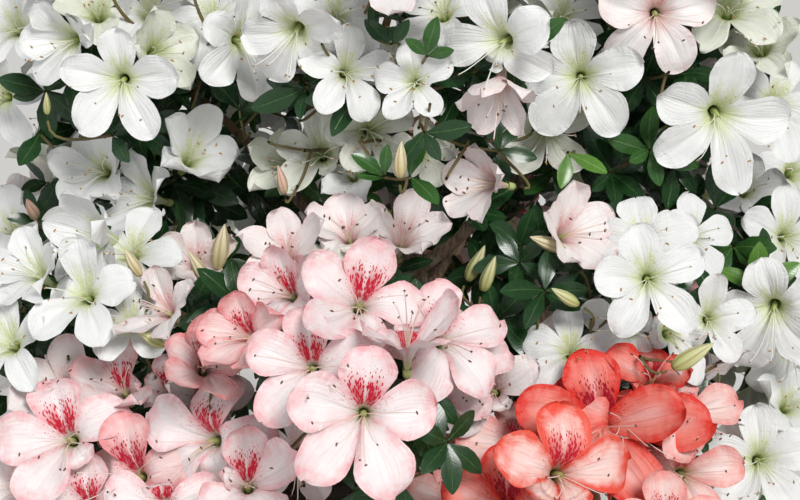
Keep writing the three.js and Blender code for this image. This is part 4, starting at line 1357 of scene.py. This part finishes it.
def clay_material(settings):
    """Fired clay: darker and lighter bands from throwing, fine grain, pale bloom near the foot and rim."""
    finish = Finish("fired_clay", Roughness=0.85, Specular_IOR_Level=0.2)
    place = finish.place()
    parts = finish.add("ShaderNodeSeparateXYZ", None, {0: place})
    height = Shade(finish, parts.outputs[2])
    grain = finish.noise(place, 0.9, 5.0, 0.7)
    clouds = finish.noise(place, 0.018, 4.0)
    bands = finish.noise(finish.stretched(place, (0.02, 0.02, 1.0)), 0.22, 3.0)
    shade = (bands * 0.8 + grain * 0.5 - 0.2).held()
    colour = finish.mix(shade, scaled(settings.clay, 0.72), scaled(settings.clay, 1.22))
    bloom = clouds.smooth(0.5, 0.72) * (height.smooth(60, 0) * 0.7 + height.smooth(150, 182) * 0.5 + 0.12)
    colour = finish.mix((bloom * (0.5 + grain)).held() * 0.75, colour, CLAY_BLOOM)
    # Darker towards the foot, over the pot's lowest 14 mm.
    colour = finish.mix(height.smooth(14, 0) * 0.45, colour, CLAY_FOOT_DARK)
    finish.bump(grain * 0.7 + bands * 0.5, 0.45, 0.0012)
    return finish.finish(colour, 0.74 + grain * 0.22)


def soil_material(name):
    finish = Finish(name, Roughness=0.92, Specular_IOR_Level=0.2)
    place = finish.place()
    grain = finish.noise(place, 0.5, 6.0, 0.7)
    clouds = finish.noise(place, 0.05, 3.0)
    colour = finish.mix(grain.smooth(0.3, 0.7), PEAT_DARK, PEAT_PALE)
    colour = finish.mix(clouds.smooth(0.45, 0.7) * 0.5, colour, PEAT_DAMP)
    finish.bump(grain, 0.8, 0.0025)
    return finish.finish(colour)


# Settings that a user would change
def colour_setting(name, description, default):
    return FloatVectorProperty(name=name, description=description, subtype="COLOR", size=3, default=default)


class AzaleaSettings(bpy.types.PropertyGroup):
    """Colours of the pot and the stage, the bark's relief, the crumbs on the soil and the strengths of the
    light.
    """

    clay: colour_setting("Clay", "Colour of the fired clay", (0.42, 0.17, 0.09))
    relief: FloatProperty(name="Bark relief", description="Fissures' depth", default=0.0009, unit="LENGTH")
    crumbs: IntProperty(name="Crumbs", description="How many crumbs lie on the soil", default=420, min=0)
    floor: colour_setting("Floor", "Colour of the plain floor", (0.72, 0.71, 0.69))
    key: FloatProperty(name="Key light", description="Strength of the main light", default=2.45)
    fill: FloatProperty(name="Fill light", description="Strength of the second light", default=0.5)
    sky: FloatProperty(name="Air", description="Strength of the even light all round", default=1.0)


def link(piece):
    bpy.context.scene.collection.objects.link(piece)
    return piece


# Pieces
POT_SIDES = 144
POT_STEP = 3.0
CORNER_STEPS = 5
CORNER_ROUND = 3
THROWING_LINES = ((0.22, 1.9), (0.16, 0.83))
OUT_OF_ROUND = 0.0012
SOIL_SIDES, SOIL_RINGS = 120, 40
SOIL_SKIRT = 30
BARE_SOIL = 34
TRUNK_RINGS, TRUNK_SIDES = 110, 48
BOUGH_RINGS, BOUGH_SIDES = 36, 16
THICK_TWIG_RADIUS = 3
LIGHTS = {
    "key": ((1.1, -2.9, 2.4), 20, (1.0, 0.985, 0.96)),
    "fill": ((-2.1, -1.6, 1.0), 60, (0.96, 0.98, 1.0)),
    "back": ((-0.9, 1.9, 1.5), 50, (1.0, 0.99, 0.97)),
}
BACK_SHARE = 1.5


def wall_radius(height):
    """The pot's outer radius at this height, below its lip."""
    return lerp(POT_BASE_RADIUS, POT_RIM_RADIUS - LIP_OUTSET, height / POT_HEIGHT)


def rounded_corners(profile):
    """A profile of (radius, height, rounding) with its corners rounded, as rows of points."""
    corners = np.array([row[:2] for row in profile], float)
    found = []
    for index, corner in enumerate(corners):
        size = profile[index][2]
        if not size or index in (0, len(corners) - 1):
            found.append(corner)
            continue
        before = corner + unit(corners[index - 1] - corner) * size
        after = corner + unit(corners[index + 1] - corner) * size
        found.extend(bezier((before, corner, after), np.linspace(0, 1, CORNER_STEPS)))
    return np.array(found)


def spread_rows(rows, step):
    """The same rows with long stretches cut into even steps."""
    found = [rows[0]]
    for before, after in zip(rows[:-1], rows[1:]):
        count = max(1, int(np.linalg.norm(after - before) / step))
        found.extend(lerp(before, after, k / count) for k in range(1, count + 1))
    return np.array(found)


class AzaleaPot(bpy.types.Operator):
    """Builds the tapered clay pot with its rolled lip, throwing lines and drain holes"""

    bl_idname = "azalea.pot"
    bl_label = "Pot"

    def execute(self, context):
        lip_foot = POT_HEIGHT - LIP_HEIGHT
        bore_top = POT_RIM_RADIUS - LIP_OUTSET - POT_WALL
        bore_foot = wall_radius(POT_FLOOR) - POT_WALL
        rows = rounded_corners([
            (0.01, 0, 0),
            (POT_BASE_RADIUS, 0, FOOT_ROUND),
            (wall_radius(lip_foot), lip_foot, CORNER_ROUND),
            (POT_RIM_RADIUS, lip_foot + 2, LIP_ROUND),
            (POT_RIM_RADIUS, POT_HEIGHT, LIP_ROUND),
            (bore_top, POT_HEIGHT, BORE_ROUND),
            (bore_foot, POT_FLOOR, CORNER_ROUND),
            (0.01, POT_FLOOR, 0),
        ])
        rows = spread_rows(rows, POT_STEP)
        angles = 2 * math.pi * np.arange(POT_SIDES) / POT_SIDES
        (fine, often), (broad, seldom) = THROWING_LINES
        lines = fine * np.sin(rows[:, 1] * often) + broad * np.sin(rows[:, 1] * seldom + 1)
        lines *= (rows[:, 1] > 8) & (rows[:, 1] < POT_HEIGHT - 6) & (rows[:, 0] < POT_RIM_RADIUS - 3)
        width = (rows[:, 0] + lines)[:, None] * (1 - OUT_OF_ROUND * (1 + np.sin(2 * angles + 0.7)))
        height = rows[:, 1:] * np.ones(POT_SIDES)
        points = np.stack([width * np.cos(angles), width * np.sin(angles), height], -1)
        heap = Heap()
        heap.add(points, tube_faces(len(rows), POT_SIDES))
        pot = heap.build("clay_pot", clay_material(context.scene.azalea), "pot", ["pot"])
        for index in range(DRAIN_COUNT):
            turn = 2 * math.pi * index / DRAIN_COUNT
            place = (DRAIN_CIRCLE_RADIUS * math.cos(turn) * MM, DRAIN_CIRCLE_RADIUS * math.sin(turn) * MM, 0)
            bpy.ops.mesh.primitive_cylinder_add(
                vertices=24, radius=DRAIN_RADIUS * MM, depth=4 * POT_FLOOR * MM, location=place
            )
            drill = context.active_object
            cut = pot.modifiers.new("drain", "BOOLEAN")
            cut.operation, cut.solver, cut.object = "DIFFERENCE", "EXACT", drill
            context.view_layer.objects.active = pot
            bpy.ops.object.modifier_apply(modifier=cut.name)
            bpy.data.objects.remove(drill)
        return {"FINISHED"}


def soil_height(radius, angle, rough=1.0):
    """The soil's surface: crowned towards the trunk, lower at the wall, and lumpy."""
    crown = SOIL_TOP - SOIL_EDGE_DROP * smooth(45, SOIL_RADIUS, radius)
    place = Vector((radius * math.cos(angle), radius * math.sin(angle), 0))
    lumps = noise.fractal(place / 14, 1.0, 2.0, 4) * 1.6 + noise.noise(place / 4) * 0.6
    return crown - 1.2 + rough * min(lumps, 1.1)


class AzaleaSoil(bpy.types.Operator):
    """Fills the pot with damp soil, with crumbs of peat and bark on it"""

    bl_idname = "azalea.soil"
    bl_label = "Soil"

    def execute(self, context):
        random = np.random.default_rng(SEEDS["soil"])
        material = soil_material("damp_soil")
        turns = 2 * math.pi * np.arange(SOIL_SIDES) / SOIL_SIDES
        points = np.array([
            [(radius * math.cos(turn), radius * math.sin(turn), soil_height(radius, turn)) for turn in turns]
            for radius in np.linspace(0.5, SOIL_RADIUS, SOIL_RINGS)
        ])
        heap = Heap()
        skirt = points[-1].copy()
        skirt[:, 2] = SOIL_TOP - SOIL_SKIRT
        skirt[:, :2] *= 0.985
        heap.add(np.concatenate([points, skirt[None]])[::-1], tube_faces(SOIL_RINGS + 1, SOIL_SIDES))
        heap.build("soil_surface", material, "soil", ["soil"])
        crumbs = Heap()
        for _ in range(context.scene.azalea.crumbs):
            radius = (SOIL_RADIUS - 5) * math.sqrt(random.random())
            angle = random.random() * 2 * math.pi
            if radius < BARE_SOIL:
                continue
            size = 1.0 + 2.4 * random.random() ** 2
            height = soil_height(radius, angle) + size * 0.15
            foot = np.array([radius * math.cos(angle), radius * math.sin(angle), height])
            way = unit(wander(random, 1) * (1, 1, 0.3))
            path = foot + np.linspace(-1, 1, 4)[:, None] * way * size * (0.8 + random.random())
            path[:, 2] = np.minimum(path[:, 2], SOIL_TOP - size * 0.3)
            tube(crumbs, path, np.array([0.35, 1, 0.9, 0.3]) * size * 0.62, 5)
        crumbs.build("soil_crumbs", twig_material("bark_crumbs", *CRUMB_COLOURS), "soil", ["soil"])
        return {"FINISHED"}


def limb_relief(seed, lumps):
    """A relief of lengthwise fissures and knots for a limb of this many rings."""

    def relief(rings, angles):
        found = np.empty((len(rings), len(angles)))
        for i, ring in enumerate(rings):
            for j, angle in enumerate(angles):
                around = Vector((math.cos(angle) * 2.4, math.sin(angle) * 2.4, ring * 0.16 + seed))
                knots = Vector((math.cos(angle) * 0.6, math.sin(angle) * 0.6, ring * 0.07 + seed))
                found[i, j] = noise.fractal(around, 1.0, 2.0, 3) * lumps + noise.noise(knots) * lumps
        return found

    return relief


class AzaleaLimbs(bpy.types.Operator):
    """Builds the trunk with its root flare and the thirteen boughs, with bark relief"""

    bl_idname = "azalea.limbs"
    bl_label = "Trunk and boughs"

    def execute(self, context):
        settings = context.scene.azalea
        bark = bark_material("bark", *BARK_COLOURS)
        shares = np.linspace(0, 1, TRUNK_RINGS)
        path = np.array([trunk_point(share) for share in shares])
        angles = 2 * math.pi * np.arange(TRUNK_SIDES) / TRUNK_SIDES
        relief = limb_relief(2.0, settings.relief / MM / 14)(np.arange(TRUNK_RINGS), angles)
        width = trunk_radius(shares[:, None], angles[None]) * (1 + relief)
        ring = np.stack([np.cos(angles), np.sin(angles), 0 * angles], -1)
        points = path[:, None] + width[..., None] * ring
        cap = path[-1] + (points[-1] - path[-1]) * 0.03
        base = path[0] + (points[0] - path[0]) * 0.03
        heap = Heap()
        heap.add(np.concatenate([base[None], points, cap[None]]), tube_faces(TRUNK_RINGS + 2, TRUNK_SIDES))
        heap.build("trunk_bark", bark, "bark", ["trunk"])
        boughs = Heap(mapped=False)
        for index, mass in enumerate(MASSES[:-1]):
            line = bezier(bough_curve(mass), np.linspace(0, 1, BOUGH_RINGS))
            thick = np.linspace(BOUGH_FOOT_RADIUS, BOUGH_TIP_RADIUS, BOUGH_RINGS)
            tube(boughs, line, thick, BOUGH_SIDES, limb_relief(10.0 + index * 3, settings.relief / MM / 7))
        boughs.build("boughs_bark", bark, "bark", BOUGH_NODES)
        return {"FINISHED"}


class AzaleaTwigs(bpy.types.Operator):
    """Grows the twigs of every mass on from the boughs"""

    bl_idname = "azalea.twigs"
    bl_label = "Twigs"

    def execute(self, context):
        heaps = {kind: Heap() for kind in TWIG_COLOURS}
        for twig in grown_plant()[3]:
            radii = np.linspace(twig.foot_radius, twig.tip_radius, len(twig.points))
            sides = 5 if twig.foot_radius < THICK_TWIG_RADIUS else 9
            tube(heaps["young" if twig.young else "brown"], twig.points, radii, sides)
        for kind, colours in TWIG_COLOURS.items():
            heaps[kind].build(f"twigs_{kind}", twig_material(f"twig_{kind}", *colours), "bark", FOLIAGE_NODES)
        return {"FINISHED"}


class AzaleaLeaves(bpy.types.Operator):
    """Sets whorls of dark, middle and fresh green leaves on the twigs"""

    bl_idname = "azalea.leaves"
    bl_label = "Leaves"

    def execute(self, context):
        random = np.random.default_rng(SEEDS["leaves"])
        heaps = {kind: Heap() for kind in LEAF_COLOURS}
        blossom, whorls = grown_plant()[:2]
        throats = Throats(blossom)
        for whorl in whorls:
            add_whorl(heaps[whorl.kind], whorl, random, throats)
        for kind, colours in LEAF_COLOURS.items():
            material = leaf_material(f"leaf_{kind}", *colours)
            heaps[kind].build(f"leaves_{kind}", material, "leaf", FOLIAGE_NODES)
        return {"FINISHED"}


class AzaleaBlossom(bpy.types.Operator):
    """Opens the blossom: petals by colour, calyxes, filaments, styles and anthers"""

    bl_idname = "azalea.blossom"
    bl_label = "Blossom"

    def execute(self, context):
        random = np.random.default_rng(SEEDS["blossom"])
        petals = {kind: Heap() for kind in TINTS}
        fine = {name: Heap() for name, *_ in FINE_PIECES}
        blossom = grown_plant()[0]
        throats = Throats(blossom)
        for flower in blossom:
            add_petals(petals[flower.kind], flower, random, throats)
            white = flower.kind in ("white", "cream")
            strands = fine["filaments_white" if white else "filaments_pink"]
            anthers = fine["anthers_tan" if white else "anthers_brown"]
            add_stamens(strands, anthers, flower, random)
            add_calyx(fine["calyxes"], flower)
        for kind, tint in TINTS.items():
            petals[kind].build(f"petals_{kind}", petal_material(kind, tint), tint.slot, FOLIAGE_NODES)
        for name, material, slot, foot, tip in FINE_PIECES:
            fine[name].build(name, filament_material(material, foot, tip), slot, FOLIAGE_NODES)
        return {"FINISHED"}


class AzaleaBuds(bpy.types.Operator):
    """Adds the pointed buds that are still to open"""

    bl_idname = "azalea.buds"
    bl_label = "Buds"

    def execute(self, context):
        random = np.random.default_rng(SEEDS["buds"])
        heaps = {kind: Heap() for kind in BUD_COLOURS}
        for bud in grown_plant()[2]:
            add_bud(heaps[bud.kind], bud, random)
        for kind, colours in BUD_COLOURS.items():
            slot = "pink_blossom" if kind == "pink_bud" else "white_blossom"
            heaps[kind].build(f"{kind}s", bud_material(kind, *colours), slot, FOLIAGE_NODES)
        return {"FINISHED"}


class AzaleaStage(bpy.types.Operator):
    """Sets the plain pale floor, the soft light and the camera at the photograph's angle"""

    bl_idname = "azalea.stage"
    bl_label = "Stage"

    def execute(self, context):
        settings = context.scene.azalea
        finish = Finish("plain_floor", Roughness=0.9, Specular_IOR_Level=0.2)
        signs = ((-1, -1), (1, -1), (1, 1), (-1, 1))
        corners = [(across * FLOOR_REACH, along * FLOOR_REACH, 0) for across, along in signs]
        mesh = bpy.data.meshes.new("floor")
        mesh.from_pydata(corners, [], [(0, 1, 2, 3)])
        mesh.materials.append(finish.finish((*settings.floor, 1)))
        link(bpy.data.objects.new("floor", mesh))
        world = bpy.data.worlds.new("studio_air")
        world.use_nodes = True
        air = Nodes(world.node_tree)
        way = air.add("ShaderNodeTexCoord").outputs["Generated"]
        height = Shade(air, air.add("ShaderNodeSeparateXYZ", None, {0: way}).outputs[2]).size()
        colour = air.mix(height.smooth(0.0, 0.5), HORIZON_COLOUR, ZENITH_COLOUR)
        background = world.node_tree.nodes["Background"]
        air.feed(background.inputs["Color"], colour)
        background.inputs["Strength"].default_value = settings.sky
        context.scene.world = world
        powers = {"key": settings.key, "fill": settings.fill, "back": settings.fill * BACK_SHARE}
        for name, (place, spread, colour) in LIGHTS.items():
            lamp = bpy.data.lights.new(f"{name}_light", "SUN")
            lamp.angle, lamp.energy, lamp.color = math.radians(spread), powers[name], colour
            holder = link(bpy.data.objects.new(f"{name}_light", lamp))
            holder.location = place
            holder.rotation_euler = Vector(place).to_track_quat("Z", "Y").to_euler()
        camera = bpy.data.cameras.new("camera")
        camera.lens, camera.sensor_width = LENS, SENSOR
        camera.clip_start, camera.clip_end = 0.05, 50
        holder = link(bpy.data.objects.new("camera", camera))
        holder.location = Vector(VIEW_PLACE) * MM
        holder.rotation_euler = Vector(-VIEW_TOWARDS).to_track_quat("-Z", "Y").to_euler()
        context.scene.camera = holder
        context.scene.view_settings.view_transform = "Standard"
        return {"FINISHED"}


class AzaleaPanel(bpy.types.Panel):
    """Lists the plant's pieces and settings in the sidebar"""

    bl_idname = "VIEW3D_PT_azalea"
    bl_label = "Azalea"
    bl_space_type = "VIEW_3D"
    bl_region_type = "UI"
    bl_category = "Azalea"

    def draw(self, context):
        for operator in OPERATORS:
            self.layout.operator(operator.bl_idname)
        for name in AzaleaSettings.__annotations__:
            self.layout.prop(context.scene.azalea, name)


OPERATORS = (
    AzaleaStage, AzaleaPot, AzaleaSoil, AzaleaLimbs,
    AzaleaTwigs, AzaleaLeaves, AzaleaBlossom, AzaleaBuds,
)
CLASSES = (AzaleaSettings, *OPERATORS, AzaleaPanel)


def register():
    for added in CLASSES:
        bpy.utils.register_class(added)
    bpy.types.Scene.azalea = PointerProperty(type=AzaleaSettings)


def unregister():
    del bpy.types.Scene.azalea
    for added in reversed(CLASSES):
        bpy.utils.unregister_class(added)


def main():
    """Builds the plant and its stage."""
    register()
    bpy.ops.azalea.stage()
    bpy.ops.azalea.pot()
    bpy.ops.azalea.soil()
    bpy.ops.azalea.limbs()
    bpy.ops.azalea.twigs()
    bpy.ops.azalea.leaves()
    bpy.ops.azalea.blossom()
    bpy.ops.azalea.buds()


if __name__ == "__main__":
    main()
